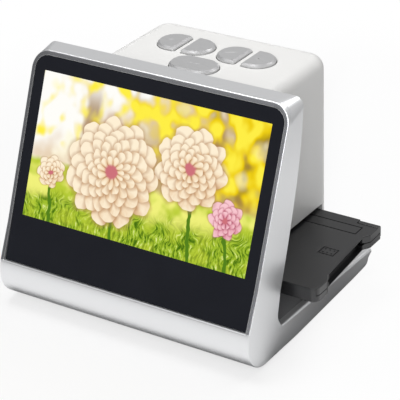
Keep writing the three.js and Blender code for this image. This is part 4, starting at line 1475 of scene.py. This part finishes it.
@dataclass
class Tower:
    """The white housing over the optics, open towards the slab."""

    body: Body
    box: Extent
    wall: float = 2.2
    gap: float = 0.3
    top_radius: float = 6.0
    corner_radius: float = 8.0
    slot_low: float = 23.4
    slot_high: float = 31.4
    slot_front: float = -22.3
    slot_back: float = 43.0
    button_gap: float = 0.35
    bulge: float = 0.4
    step_gap: float = 0.45
    step_top: float = 16.7

    def form(self, inset: float, low: float) -> Form:
        """The outside, or the room inside it.

        Args:
            inset: How far inside the outer surface it lies.
            low: Where it starts.

        Returns:
            The solid.
        """
        radius = self.top_radius - inset
        top = self.box.high.z - inset
        front = self.body.front
        levels = [(low, 0.0)]
        for step in range(11):
            angle = math.pi / 2 * step / 10
            levels.append((top - radius + radius * math.sin(angle), radius * (1 - math.cos(angle))))
        rings = []
        for height, pulled in levels:
            x = self.box.high.x + self.bulge - inset - pulled
            y = self.box.high.y - inset - pulled
            corner = self.corner_radius - inset - pulled
            outline = rounded(doorway(x, front, y, corner), 10)
            rings.append([Axis.Z.place(point, height) for point in outline])
        return Form.from_rings(rings)

    def front_cutter(self) -> Form:
        """What opens the tower towards the slab's back.

        Returns:
            The cutter.
        """
        ahead = self.body.front - OVERRUN
        above = 2 * self.box.high.z
        step_back = self.body.seam + self.step_gap
        back = self.body.slab_back(self.gap)
        outline = [(ahead, above), (ahead, -OVERRUN), (step_back, -OVERRUN), (step_back, self.step_top)]
        outline += [*reversed(back), (back[0][0], above)]
        return Form.prism(Axis.X, outline, -self.body.half, self.body.half)

    def build(self, finish: bpy.types.Material, buttons: Sequence["Button"]) -> bpy.types.Object:
        """Builds the housing.

        Args:
            finish: Its white plastic.
            buttons: The buttons that it has holes for.

        Returns:
            The piece.
        """
        half = self.body.half
        panel = Extent.of("rear_panel")
        base_back = self.body.back
        rim = self.body.rim_back + self.gap
        cutters = [
            self.form(self.wall, -OVERRUN),
            self.front_cutter(),
            Form.block((-half, self.slot_front, self.slot_low), (half, self.slot_back, self.slot_high)),
            Form.block((-half, base_back - self.body.rim_width - self.gap, 0), (half, base_back, rim)),
            Form.block(
                (panel.low.x - self.gap, panel.low.y - OVERRUN, panel.low.z - self.gap),
                (panel.high.x + self.gap, base_back, panel.high.z + self.gap),
            ),
        ]
        low = self.box.high.z - self.wall - OVERRUN
        for button in buttons:
            outline = button.outline()
            grown = drawn_in(outline, [-self.button_gap] * len(outline))
            cutters.append(Form.prism(Axis.Z, grown, low, 2 * self.box.high.z))
        solid = self.form(0.0, self.box.low.z).cut(*cutters)
        return solid.piece("tower_shell", "root", Slot.WHITE, (finish,), ("tower_housing",))


class Shape(Enum):
    """How a button cap is shaped, seen from above."""

    FLAT_RIGHT = 1
    FLAT_LEFT = -1
    LONG = 0


@dataclass(frozen=True)
class Bar:
    """One bar of a plain sign: its middle, length, width and turn in degrees."""

    x: float
    y: float
    length: float
    width: float
    turn: float = 0.0


@dataclass
class Button:
    """One push button cap with its plain sign."""

    node: str
    shape: Shape
    sign: tuple[Bar, ...] = ()
    corner: float = 1.0
    flange: float = 0.8
    flange_thickness: float = 1.1
    edge: float = 0.85
    cap_edge: tuple[Point, ...] = (
        (1.0, 0.0), (0.93, 0.02), (0.85, 0.1), (0.12, 0.9), (0.03, 1.0), (0.0, 1.15),
    )
    sign_proud: float = 0.02

    def __post_init__(self) -> None:
        """Reads the cap's place from the frame."""
        self.box = Extent.of(self.node)
        self.half_x = self.box.size.x / 2 - self.flange
        self.half_y = self.box.size.y / 2 - self.flange

    def outline(self) -> list[Point]:
        """The cap from above, without its flange.

        Returns:
            The outline's points.
        """
        x, y = self.box.middle.x, self.box.middle.y
        round_radius = self.half_y - 0.01
        if self.shape is Shape.LONG:
            return rectangle((x, y), 2 * self.half_x, 2 * self.half_y, round_radius, 14)
        side = self.shape.value
        corners = [
            (x - side * self.half_x, y - self.half_y, round_radius),
            (x + side * self.half_x, y - self.half_y, self.corner),
            (x + side * self.half_x, y + self.half_y, self.corner),
            (x - side * self.half_x, y + self.half_y, round_radius),
        ]
        return rounded(corners, 14)

    def build(self, cap: bpy.types.Material, ink: bpy.types.Material) -> list[bpy.types.Object]:
        """Builds the cap and its sign.

        Args:
            cap: The cap's finish.
            ink: The sign's finish.

        Returns:
            The pieces.
        """
        outline = self.outline()
        top, low = self.box.high.z, self.box.low.z
        flange_top = low + self.flange_thickness
        count = len(outline)
        wide = drawn_in(outline, [-self.flange] * count)
        levels = [(low, wide), (flange_top, wide), (flange_top, outline)]
        for drop, inset in self.cap_edge:
            levels.append((top - drop * self.edge, drawn_in(outline, [inset * self.edge] * count)))
        rings = [[Axis.Z.place(point, height) for point in ring] for height, ring in levels]
        solid = Form.from_rings(rings)
        made = [solid.piece(self.node + "_cap", self.node, Slot.BUTTON, (cap,), (self.node,), 24.0)]
        for index, bar in enumerate(self.sign):
            shape = rectangle((0, 0), bar.length, bar.width, min(bar.length, bar.width) / 2 - 0.01, 5)
            form = Form.prism(Axis.Z, shape, top - TOUCH, top + self.sign_proud)
            form.moved(Matrix.Rotation(math.radians(bar.turn), 4, "Z")).at(bar.x, bar.y, 0)
            made.append(form.piece(f"{self.node}_sign_{index + 1}", self.node, Slot.BUTTON, (ink,)))
        return made


# The film holder


@dataclass
class FilmHolder:
    """The charcoal film holder: a tray, a hinged lid and the pin between them."""

    tray_box: Extent
    lid_box: Extent
    body: str = "film_holder"
    corner: float = 1.8
    front_corner: float = 3.0
    notch_depths: Point = (2.3, 4.8)
    notch_front: float = 8.9
    notch_step: float = 4.8
    notch_length: float = 42.3
    notch_slant: float = 3.2
    notch_bevel: Point = (0.9, 0.7)
    bevel_steps: tuple[Point, ...] = ((0.02, 0.25), (0.5, 1.0), (0.97, 0.15))
    mouth_depth: float = 2.2
    mouth_wall: float = 0.6
    mouth_side: float = 0.9
    front_wall: float = 1.0
    front_skin: float = 0.5
    end_inset: float = 2.8
    knuckle_depth: float = 3.3
    knuckle_length: float = 12.8
    pin_radius: float = 0.8
    gap: float = 0.3
    window: Point = (36.5, 24.5)
    film_width: float = 35.6
    film_depth: float = 0.4
    edge: float = 0.35
    groove_width: float = 0.55
    groove_depth: float = 0.35
    mark_place: Point = (64.4, 9.2)
    mark_size: Point = (7.4, 5.2)
    mark_line: float = 0.5
    hole_share: float = 0.55
    hole_inset: float = 1.25
    hole_half: Point = (0.4, 0.35)
    field_start: float = 2.0
    field_end: float = 67.2
    field_near: float = 27.6
    field_far: float = 34.4
    far: float = 200.0
    above: float = 60.0

    def plan(self, hinge_left_out: bool) -> list[Point]:
        """The outline from above.

        Args:
            hinge_left_out: Whether the room of the hinge ends is left out.

        Returns:
            The outline's points.
        """
        x, front_edge, back_edge = self.tray_box.high.x, self.tray_box.low.y, self.tray_box.high.y
        front = front_edge + self.notch_front
        end = x - self.end_inset
        right: list[Corner] = [
            (x, front_edge, self.front_corner),
            (x, front, 0.5),
            (x - self.notch_depths[0], front + self.notch_step, 0.5),
            (x - self.notch_depths[1], front + self.notch_length - self.notch_slant, 0.8),
            (end, front + self.notch_length, 0.5),
        ]
        if hinge_left_out:
            inner_x = x - self.knuckle_length - self.gap
            inner_y = back_edge - self.knuckle_depth - self.gap
            right += [(end, inner_y, 0.3), (inner_x, inner_y, 0.3), (inner_x, back_edge, 0.3)]
        else:
            right.append((end, back_edge, self.corner))
        left = [(-corner[0], *corner[1:]) for corner in reversed(right)]
        return rounded([*right, *left], 6)

    def wall(self) -> tuple[Point, Point]:
        """The ends of the right notch's wall, seen from above.

        Returns:
            Its near and its far end.
        """
        x = self.tray_box.high.x
        front = self.tray_box.low.y + self.notch_front
        near, far = front + self.notch_step, front + self.notch_length - self.notch_slant
        return (x - self.notch_depths[0], near), (x - self.notch_depths[1], far)

    def groove(self, low: Point, high: Point, top: float) -> Form:
        """A straight groove in the lid between two corners."""
        return Form.block((low[0], low[1], top - self.groove_depth), (high[0], high[1], top + OVERRUN))

    def lid_grooves(self) -> list[Form]:
        """The long outlined field near the hinge, in two halves.

        Returns:
            The cutters.
        """
        top, wide = self.lid_box.high.z, self.groove_width
        start, end, near, far = self.field_start, self.field_end, self.field_near, self.field_far
        spans = ((start, end, near, near + wide), (start, end, far - wide, far), (end - wide, end, near, far))
        grooves = []
        for side in (1, -1):
            for x_first, x_last, y_low, y_high in spans:
                x_low, x_high = sorted((side * x_first, side * x_last))
                grooves.append(self.groove((x_low, y_low), (x_high, y_high), top))
        return grooves

    def bevels(self) -> list[Form]:
        """What slopes the lid's edge along each notch.

        Returns:
            The cutters.
        """
        top = self.lid_box.high.z
        wide, deep = self.notch_bevel
        low = top - deep - OVERRUN * deep / wide
        (near_x, near_y), (far_x, far_y) = self.wall()
        sections = []
        for share, cut in self.bevel_steps:
            x = near_x + (far_x - near_x) * share + wide * (1.0 - cut)
            outline = [(x - wide, top), (x + OVERRUN, low), (x + OVERRUN, top + 1.0), (x - wide, top + 1.0)]
            sections.append((near_y + (far_y - near_y) * share, outline))
        return Form.both_sides(sections)

    def mouths(self) -> list[Form]:
        """The film's way out in each notch.

        Returns:
            The cutters.
        """
        low, high = self.tray_box.low.z + self.mouth_wall, self.lid_box.high.z - self.mouth_wall
        sections = []
        for (x, y), inward in zip(self.wall(), (self.mouth_side, -self.mouth_side)):
            inner, outer = x - self.mouth_depth, x + OVERRUN
            sections.append((y + inward, [(inner, low), (outer, low), (outer, high), (inner, high)]))
        return Form.both_sides(sections)

    def front_bar(self, low: float, grown: float) -> Form:
        """The tray's front wall, which stands before the lid.

        Args:
            low: Where it starts.
            grown: How much larger it is than the wall itself.

        Returns:
            The wall.
        """
        high = self.lid_box.high.z - self.front_skin + grown
        back = self.tray_box.low.y + self.front_wall + grown
        behind = Form.block((-self.far, back, 0.0), (self.far, self.far, self.above))
        return Form.prism(Axis.Z, self.plan(True), low, high).cut(behind)

    def film_marks(self) -> list[Form]:
        """A plain sign of a film frame, sunk in the lid near each end.

        Returns:
            The cutters.
        """
        top, thin = self.lid_box.high.z, self.mark_line / 2
        half_x, half_y = self.mark_size[0] / 2, self.mark_size[1] / 2
        wide, tall = self.hole_half
        y = self.mark_place[1]
        marks = []
        for side in (1, -1):
            x = side * self.mark_place[0]
            for end in (-1, 1):
                line, edge = y + end * half_y, x + end * (half_x - thin)
                marks.append(self.groove((x - half_x, line - thin), (x + half_x, line + thin), top))
                marks.append(self.groove((edge - thin, y - half_y), (edge + thin, y + half_y), top))
                for step in (-1, 0, 1):
                    hole = (x + step * half_x * self.hole_share, y + end * (half_y - self.hole_inset))
                    corners = [(hole[0] + sign * wide, hole[1] + sign * tall) for sign in (-1, 1)]
                    marks.append(self.groove(*corners, top))
        return marks

    def build(self, finish: bpy.types.Material, steel: bpy.types.Material) -> list[bpy.types.Object]:
        """Builds the tray, the lid and the pin.

        Args:
            finish: The holder's plastic.
            steel: The pin's finish.

        Returns:
            The pieces.
        """
        tray, lid = self.tray_box, self.lid_box
        seam = lid.low.z - self.gap
        half_x, half_y = self.window[0] / 2, self.window[1] / 2
        middle = (tray.low.y + tray.high.y) / 2
        window = Form.block((-half_x, middle - half_y, 0), (half_x, middle + half_y, self.above))
        film = self.film_width / 2
        channel = Form.block(
            (-tray.high.x - OVERRUN, middle - film, seam - self.film_depth),
            (tray.high.x + OVERRUN, middle + film, seam + self.gap + self.film_depth),
        )
        pin_box = Extent.of("holder_hinge_pin")
        pin_y, pin_z = pin_box.middle.y, pin_box.middle.z
        radii = (self.pin_radius, self.pin_radius + self.gap)
        pin_round, bore_round = (arc((pin_y, pin_z), radius, 0, 345, 23) for radius in radii)
        bore = Form.prism(Axis.X, bore_round, pin_box.low.x - self.gap, pin_box.high.x + self.gap)
        base = Form.prism(Axis.Z, self.plan(False), tray.low.z, seam, self.edge, 0.08, 4)
        for side in (-1, 1):
            near = side * (tray.high.x - self.knuckle_length)
            far = side * (tray.high.x - self.end_inset - self.gap)
            low_x, high_x = min(near, far), max(near, far)
            ahead, behind = tray.high.y - self.knuckle_depth, tray.high.y - self.gap
            low, high = tray.low.z + 1, lid.high.z
            knuckle = rounded([(ahead, low), (behind, low), (behind, high, 1.1), (ahead, high, 0.5)])
            base = base.joined(Form.prism(Axis.X, knuckle, low_x, high_x, 0.25, 0.25, 3))
        base = base.joined(self.front_bar(seam - 1.0, 0.0)).cut(bore, window, channel, *self.mouths())
        cover = Form.prism(Axis.Z, self.plan(True), lid.low.z, lid.high.z, 0.08, self.edge, 4)
        cuts = (*self.mouths(), *self.lid_grooves(), *self.bevels(), *self.film_marks())
        cover = cover.cut(self.front_bar(lid.low.z - 1.0, 0.12), bore, window, channel, *cuts)
        pin = Form.prism(Axis.X, pin_round, pin_box.low.x, pin_box.high.x, 0.2, 0.2, 3)
        return [
            base.piece("film_tray", self.body, Slot.HOLDER, (finish,), ("holder_tray",)),
            cover.piece("film_lid", self.body, Slot.HOLDER, (finish,), ("holder_lid",)),
            pin.piece("hinge_pin", self.body, Slot.STEEL, (steel,), ("holder_hinge_pin",)),
        ]


# The underside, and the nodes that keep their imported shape


@dataclass
class Underside:
    """The rubber feet and the screws of the bottom cover."""

    feet: tuple[str, ...] = ("foot_1", "foot_2", "foot_3", "foot_4")
    screws: tuple[str, ...] = ("cover_screw_1", "cover_screw_2", "cover_screw_3", "cover_screw_4")
    recess_width: float = 0.6
    recess_length: float = 2.4
    recess_depth: float = 0.8

    def build(self, rubber: bpy.types.Material, steel: bpy.types.Material) -> list[bpy.types.Object]:
        """Builds the feet and the cross headed screws.

        Args:
            rubber: The feet's finish.
            steel: The screws' finish.

        Returns:
            The pieces.
        """
        made = []
        for name in self.feet:
            box = Extent.of(name)
            radius, height = box.size.x / 2, box.size.z
            profile = [(0.0, 0.12), (radius * 0.55, 0.12), (radius * 0.68, 0.0), (radius - 0.25, 0.0)]
            profile += [(radius - 0.07, 0.07), (radius, 0.25), (radius, height - 0.1)]
            profile += [(radius - 0.1, height), (0.0, height)]
            form = Form.turned(profile).at(box.middle.x, box.middle.y, box.low.z)
            made.append(form.piece(name + "_rubber", "root", Slot.RUBBER, (rubber,), (name,)))
        for name in self.screws:
            box = Extent.of(name)
            head, shank = box.size.x / 2, 0.8
            profile = [(0.0, 0.0), (head - 0.5, 0.0), (head - 0.15, 0.15), (head, 0.5), (head, 1.4)]
            profile += [(shank, 1.4), (shank, box.size.z - shank), (0.0, box.size.z)]
            form = Form.turned(profile, 28)
            long, wide, deep = self.recess_length / 2, self.recess_width / 2, self.recess_depth
            form = form.cut(
                Form.block((-long, -wide, -OVERRUN), (long, wide, deep)),
                Form.block((-wide, -long, -OVERRUN), (wide, long, deep)),
            )
            form = form.at(box.middle.x, box.middle.y, box.low.z)
            made.append(form.piece(name + "_steel", "root", Slot.STEEL, (steel,), (name,)))
        return made


@dataclass
class Carried:
    """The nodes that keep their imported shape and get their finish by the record's slot."""

    finishes: dict[Slot, bpy.types.Material]

    def dress(self) -> int:
        """Gives every shown node its finish.

        Returns:
            How many nodes were dressed.
        """
        slots = {part["node"]: part["material_slot"] for part in frame["record"]["subparts"]}
        count = 0
        for name, node in frame["nodes"].items():
            if node.hide_render:
                continue
            finish = self.finishes[Slot(slots[name])]
            node.data.materials.clear()
            node.data.materials.append(finish)
            count += 1
        return count


# The studio


@dataclass
class Camera:
    """The photograph's point of view."""

    azimuth: float = math.radians(33.822)
    elevation: float = math.radians(27.554)
    roll: float = math.radians(-2.154)
    distance: float = 735.2
    target: Triple = (0.0, -15.0, 68.7)
    shift_right: float = 15.1
    shift_up: float = -17.685
    focal_pixels: float = 1779.0
    photo_pixels: float = 400.0
    sensor: float = 36.0

    def build(self) -> bpy.types.Object:
        """Places the camera and makes it the scene's.

        Returns:
            The camera.
        """
        a, e, r = self.azimuth, self.elevation, self.roll
        back = Vector((math.sin(a) * math.cos(e), -math.cos(a) * math.cos(e), math.sin(e)))
        level = Vector((math.cos(a), math.sin(a), 0.0))
        steep = back.cross(level)
        right = level * math.cos(r) + steep * math.sin(r)
        up = steep * math.cos(r) - level * math.sin(r)
        place = Vector(self.target) + back * self.distance + right * self.shift_right + up * self.shift_up
        data = bpy.data.cameras.new("photo_camera")
        data.sensor_width = self.sensor
        data.lens = self.focal_pixels / self.photo_pixels * self.sensor
        data.clip_start, data.clip_end = 0.01, 20.0
        camera = in_scene("photo_camera", data)
        turn = Matrix((right, up, back)).transposed().to_4x4()
        camera.matrix_world = Matrix.Translation(place * MM) @ turn
        bpy.context.scene.camera = camera
        return camera


@dataclass(frozen=True)
class Lamp:
    """One soft box that faces the object."""

    name: str
    place: Triple
    size: float
    power: float

    def build(self) -> bpy.types.Object:
        """Places the lamp, facing the object's middle.

        Returns:
            The lamp.
        """
        data = bpy.data.lights.new(self.name, "AREA")
        data.shape = "SQUARE"
        data.size = self.size
        data.energy = self.power
        lamp = in_scene(self.name, data)
        lamp.location = self.place
        away = Vector(self.place) - Vector((0.0, 0.0, 0.05))
        lamp.rotation_mode = "QUATERNION"
        lamp.rotation_quaternion = away.to_track_quat("Z", "Y")
        return lamp


@dataclass
class Studio:
    """White floor, plain light and the white background."""

    floor_reach: float = 6.0
    floor_colour: Colour = (0.90, 0.90, 0.90)
    floor_bounce: Colour = (0.72, 0.72, 0.72)
    # the painted shade that glossy rays see on the floor close to the body
    floor_painted_shade: Colour = (0.15, 0.15, 0.15)
    footprint: float = 62.5
    ambient: float = 0.22
    near_shine: float = 1.24
    far_shine: float = 0.74
    far_drop: float = 0.36
    shine_stops: tuple[Point, ...] = (
        (0.40, 0.95), (0.48, 0.62), (0.56, 0.42), (0.66, 0.46), (0.73, 0.60), (0.85, 0.40),
    )
    shine_lean: float = 1.2
    lean_start: float = 0.49
    lean_limits: Point = (0.3, 1.25)
    glow_from: Point = (0.2, 0.45)
    band_from: Point = (0.35, 0.6)
    front_glow: Triple = (0.52, 0.86, 0.06)
    front_band: Triple = (-0.2, 0.42, 0.06)
    front_fall: float = 0.6
    near_white: float = 0.65
    glossy_white: float = 0.85
    # how strongly and where the floor is painted white over the object's shadow on the right
    lit_share: float = 0.8
    lit_reach: Point = (30.0, 75.0)
    white_reach: Point = (110.0, 330.0)
    shine_reach: Point = (120.0, 300.0)
    drop_reach: Point = (260.0, 800.0)
    under_edge: Point = (1.0, -4.0)
    under_start: Point = (-53.0, -38.0)
    spread_start: float = 37.0
    spread: float = 0.41
    beside_edge: Point = (11.0, -2.0)
    beside_start: Point = (-24.0, -10.0)
    foot_edge: Point = (9.0, -1.0)
    foot_start: Point = (-58.0, -48.0)
    shaded_end: Point = (112.0, 58.0)
    lamps: tuple[Lamp, ...] = (
        Lamp("top_box", (-0.28, 0.0, 1.18), 0.45, 4.9),
        Lamp("left_box", (-0.57, 0.33, 0.95), 0.22, 0.6),
        Lamp("back_box", (0.22, 0.55, 0.95), 0.5, 2.4),
        Lamp("front_box", (0.28, -1.15, 0.80), 0.9, 10.6),
    )
    seen: tuple[str, ...] = ("Is Camera Ray", "Is Glossy Ray", "Is Transmission Ray")

    def build_world(self) -> None:
        """White at the horizon, greyer overhead, and a plain level of light all round."""
        world = bpy.data.worlds.new("studio_world")
        world.use_nodes = True
        nodes = Nodes(world.node_tree, "Generated", 1.0)
        stops = [(place, (level, level, level)) for place, level in self.shine_stops]
        ramp = nodes.node("ShaderNodeValToRGB", {"stops": stops}, {0: nodes.z * 0.5 + 0.5})
        least, most = self.lean_limits
        lean = ((nodes.x + self.lean_start) * self.shine_lean + 1.0).most(least).least(most)
        ahead = nodes.y * -1.0
        front_high = ahead.rises(*self.glow_from) * nodes.z.within(*self.front_glow)
        front_low = ahead.rises(*self.band_from) * nodes.z.within(*self.front_band)
        shine = (Value(nodes, ramp.outputs[0]) * lean).least(1.0)
        shine = (shine * (1.0 - front_low * self.front_fall)).most(front_high)
        glossy = nodes.ray("Is Glossy Ray")
        shown = shine * glossy + (1.0 - glossy)
        light = nodes.node("ShaderNodeBackground", {}, {"Color": WHITE, "Strength": self.ambient})
        white = nodes.node("ShaderNodeBackground", {}, {"Color": WHITE, "Strength": shown})
        sockets = {0: nodes.ray(*self.seen), 1: light.outputs[0], 2: white.outputs[0]}
        mixed = nodes.node("ShaderNodeMixShader", {}, sockets)
        nodes.node("ShaderNodeOutputWorld", {}, {"Surface": mixed.outputs[0]})
        bpy.context.scene.world = world

    def build_floor(self) -> bpy.types.Object:
        """A white floor that keeps the shadow near the object, is whitened with painted light towards the
        right for camera rays, and shows glossy rays a painted shade close to the object, so it is mirrored
        darker there.

        Returns:
            The floor.
        """
        bm = bmesh.new()
        bmesh.ops.create_grid(bm, x_segments=8, y_segments=8, size=self.floor_reach)
        mesh = bpy.data.meshes.new("studio_floor")
        bm.to_mesh(mesh)
        bm.free()
        sheet = Sheet("studio_floor_finish")
        away = (sheet.x * sheet.x + sheet.y * sheet.y).math("SQRT")
        glossy = sheet.ray("Is Glossy Ray")
        # painted light: for camera rays the floor is whitened towards the right, over the object's shadow
        # there
        lit = (sheet.x + sheet.y * 0.5).rises(*self.lit_reach) * sheet.ray("Is Camera Ray") * self.lit_share
        far = away.rises(*self.white_reach).most(lit).most(glossy * self.glossy_white)
        shown = sheet.ray(*self.seen) * (far * (1.0 - self.near_white) + self.near_white)
        colour = sheet.mix(sheet.ray(*self.seen), self.floor_bounce, self.floor_colour)
        # painted shade: glossy rays see the floor darkened under, beside and at the foot of the body, so the
        # lacquer mirrors a shade there
        outside, inside = (self.footprint + edge for edge in self.under_edge)
        under = abs(sheet.x).rises(outside, inside) * sheet.y.rises(*self.under_start)
        reach = abs(sheet.x) - self.footprint - (sheet.y + self.spread_start).most(0.0) * self.spread
        beside = reach.rises(*self.beside_edge) * sheet.y.rises(*self.beside_start)
        foot = reach.rises(*self.foot_edge) * sheet.y.rises(*self.foot_start)
        shaded = glossy * under.most(beside).most(foot) * sheet.y.rises(*self.shaded_end)
        colour = sheet.mix(shaded, colour, self.floor_painted_shade)
        shown = shown * (1.0 - shaded)
        paint = sheet.node("ShaderNodeBsdfDiffuse", {}, {"Color": colour})
        shine = away.rises(*self.shine_reach) * (self.far_shine - self.near_shine) + self.near_shine
        shine = shine - away.rises(*self.drop_reach) * self.far_drop
        strength = glossy * (shine - 1.0) + 1.0
        white = sheet.node("ShaderNodeEmission", {}, {"Color": WHITE, "Strength": strength})
        mixed = sheet.node("ShaderNodeMixShader", {}, {0: shown, 1: paint.outputs[0], 2: white.outputs[0]})
        sheet.node("ShaderNodeOutputMaterial", {}, {"Surface": mixed.outputs[0]})
        mesh.materials.append(sheet.material)
        floor = in_scene("studio_floor", mesh)
        return floor

    def build(self) -> None:
        """Builds the world, the floor and the lamps."""
        self.build_world()
        self.build_floor()
        for lamp in self.lamps:
            lamp.build()
        bpy.context.scene.view_settings.view_transform = "Standard"


# The whole scene


BUTTONS = (
    Button("button_1", Shape.FLAT_RIGHT, (Bar(-22.6, 27.3, 1.8, 0.7, 28.0),)),
    Button("button_2", Shape.FLAT_LEFT),
    Button("button_3", Shape.FLAT_RIGHT, (Bar(7.3, 27.2, 4.6, 0.8, 28.0),)),
    Button("button_4", Shape.FLAT_LEFT, (
        Bar(21.1, 27.1, 2.6, 0.7, 28.0), Bar(21.1, 27.1, 2.6, 0.7, 118.0), Bar(24.1, 27.1, 0.8, 0.8),
    )),
    Button("button_5", Shape.LONG, (Bar(-1.6, 10.2, 0.9, 0.9), Bar(1.7, 10.2, 1.8, 0.7, 28.0))),
)


def finishes_by_slot() -> dict[Slot, bpy.types.Material]:
    """One finish for each of the record's slots.

    Returns:
        The materials.
    """
    looks = {
        Slot.SILVER: SilverLacquer(),
        Slot.WHITE: MouldedPlastic("white_shell_finish", (0.86, 0.855, 0.84), 0.42, 6.0, 0.008, 0.012, 0.4),
        Slot.GLASS: Clouded(
            "black_glass_finish", *tones((0.0155, 0.0165, 0.0215), 0.15), (0.05, 3.0), (0.05, 0.04), 0.0, 0.08
        ),
        Slot.BUTTON: BrushedCap(),
        Slot.HOLDER: MouldedPlastic(
            "holder_plastic_finish", (0.0085, 0.0085, 0.0097), 0.33, 4.0, 0.015, 0.1, 0.66
        ),
        Slot.DARK: MouldedPlastic("dark_plastic_finish", (0.032, 0.033, 0.036), 0.5, 4.0),
        Slot.GREY: MouldedPlastic("grey_plastic_finish", (0.42, 0.422, 0.44), 0.45, 3.0, 0.02, 0.08),
        Slot.RUBBER: Clouded(
            "rubber_finish", (0.0084,) * 3, (0.0168,) * 3, (8.0, 4.0), (0.2, 0.75), bump=(8.0, 4.0, 0.5, 0.03)
        ),
        Slot.STEEL: Clouded(
            "steel_finish", *tones((0.52, 0.53, 0.54), 0.15), (0.6, 4.0), (0.15, 0.225), 1.0,
            bump=(9.0, 2.0, 0.1, 0.01),
        ),
        Slot.BOARD: CircuitBoard(),
        Slot.DISPLAY: MouldedPlastic("display_panel_finish", (0.03, 0.03, 0.034), 0.2, 2.0, 0.005, 0.05),
        Slot.LENS: Clouded(
            "lens_glass_finish", (0.02, 0.018, 0.03), (0.05, 0.02, 0.09), (0.4, 1.0), (0.02, 0.03), 0.0, 0.9
        ),
        Slot.DIFFUSER: Clouded(
            "diffuser_finish", (0.8342, 0.8439, 0.8148), (0.86, 0.87, 0.84), (0.2, 3.0), (0.1, 0.5)
        ),
        Slot.CABLE: MouldedPlastic("cable_sleeve_finish", (0.02, 0.02, 0.02), 0.6, 6.0),
    }
    return {slot: look.material() for slot, look in looks.items()}


def ring_finishes() -> list[bpy.types.Material]:
    """The finish of the ring round the front glass, and a lighter copy of it that paints its highlight lines.

    Returns:
        The two materials.
    """
    looks = (
        ("polished_edge_finish", (0.74, 0.75, 0.79), 0.16),
        # painted highlight: a lighter copy of the polished edge for the roundings, where the lamps also make
        # a real highlight line
        ("painted_highlight_finish", (0.93, 0.935, 0.95), 0.26),
    )
    return [
        Clouded(name, *tones(colour, 0.07), (3.0, 2.0), (0.06, rough), 1.0).material()
        for name, colour, rough in looks
    ]


def main() -> None:
    """Builds every sub-assembly in order and reports each piece."""
    logging.basicConfig(level=logging.INFO, format="%(message)s")
    Camera().build()
    Studio().build()
    finishes = finishes_by_slot()
    lean = Lean(Extent.of("front_frame").low.y)
    body = Body(lean, Extent.of("front_frame"), Extent.of("base_shell"))
    made = [body.build(finishes[Slot.SILVER], *ring_finishes())]
    made += Front(lean).build(finishes[Slot.GLASS])
    made.append(Tower(body, Extent.of("tower_housing")).build(finishes[Slot.WHITE], BUTTONS))
    ink = MouldedPlastic("button_sign_finish", (0.58, 0.58, 0.585), 0.45).material()
    for button in BUTTONS:
        made += button.build(finishes[Slot.BUTTON], ink)
    holder = FilmHolder(Extent.of("holder_tray"), Extent.of("holder_lid"))
    made += holder.build(finishes[Slot.HOLDER], finishes[Slot.STEEL])
    made += Underside().build(finishes[Slot.RUBBER], finishes[Slot.STEEL])
    for piece in made:
        log.info("%s: %d faces", piece.name, len(piece.data.polygons))
    log.info("%d carried nodes dressed", Carried(finishes).dress())


if __name__ == "__main__":
    main()
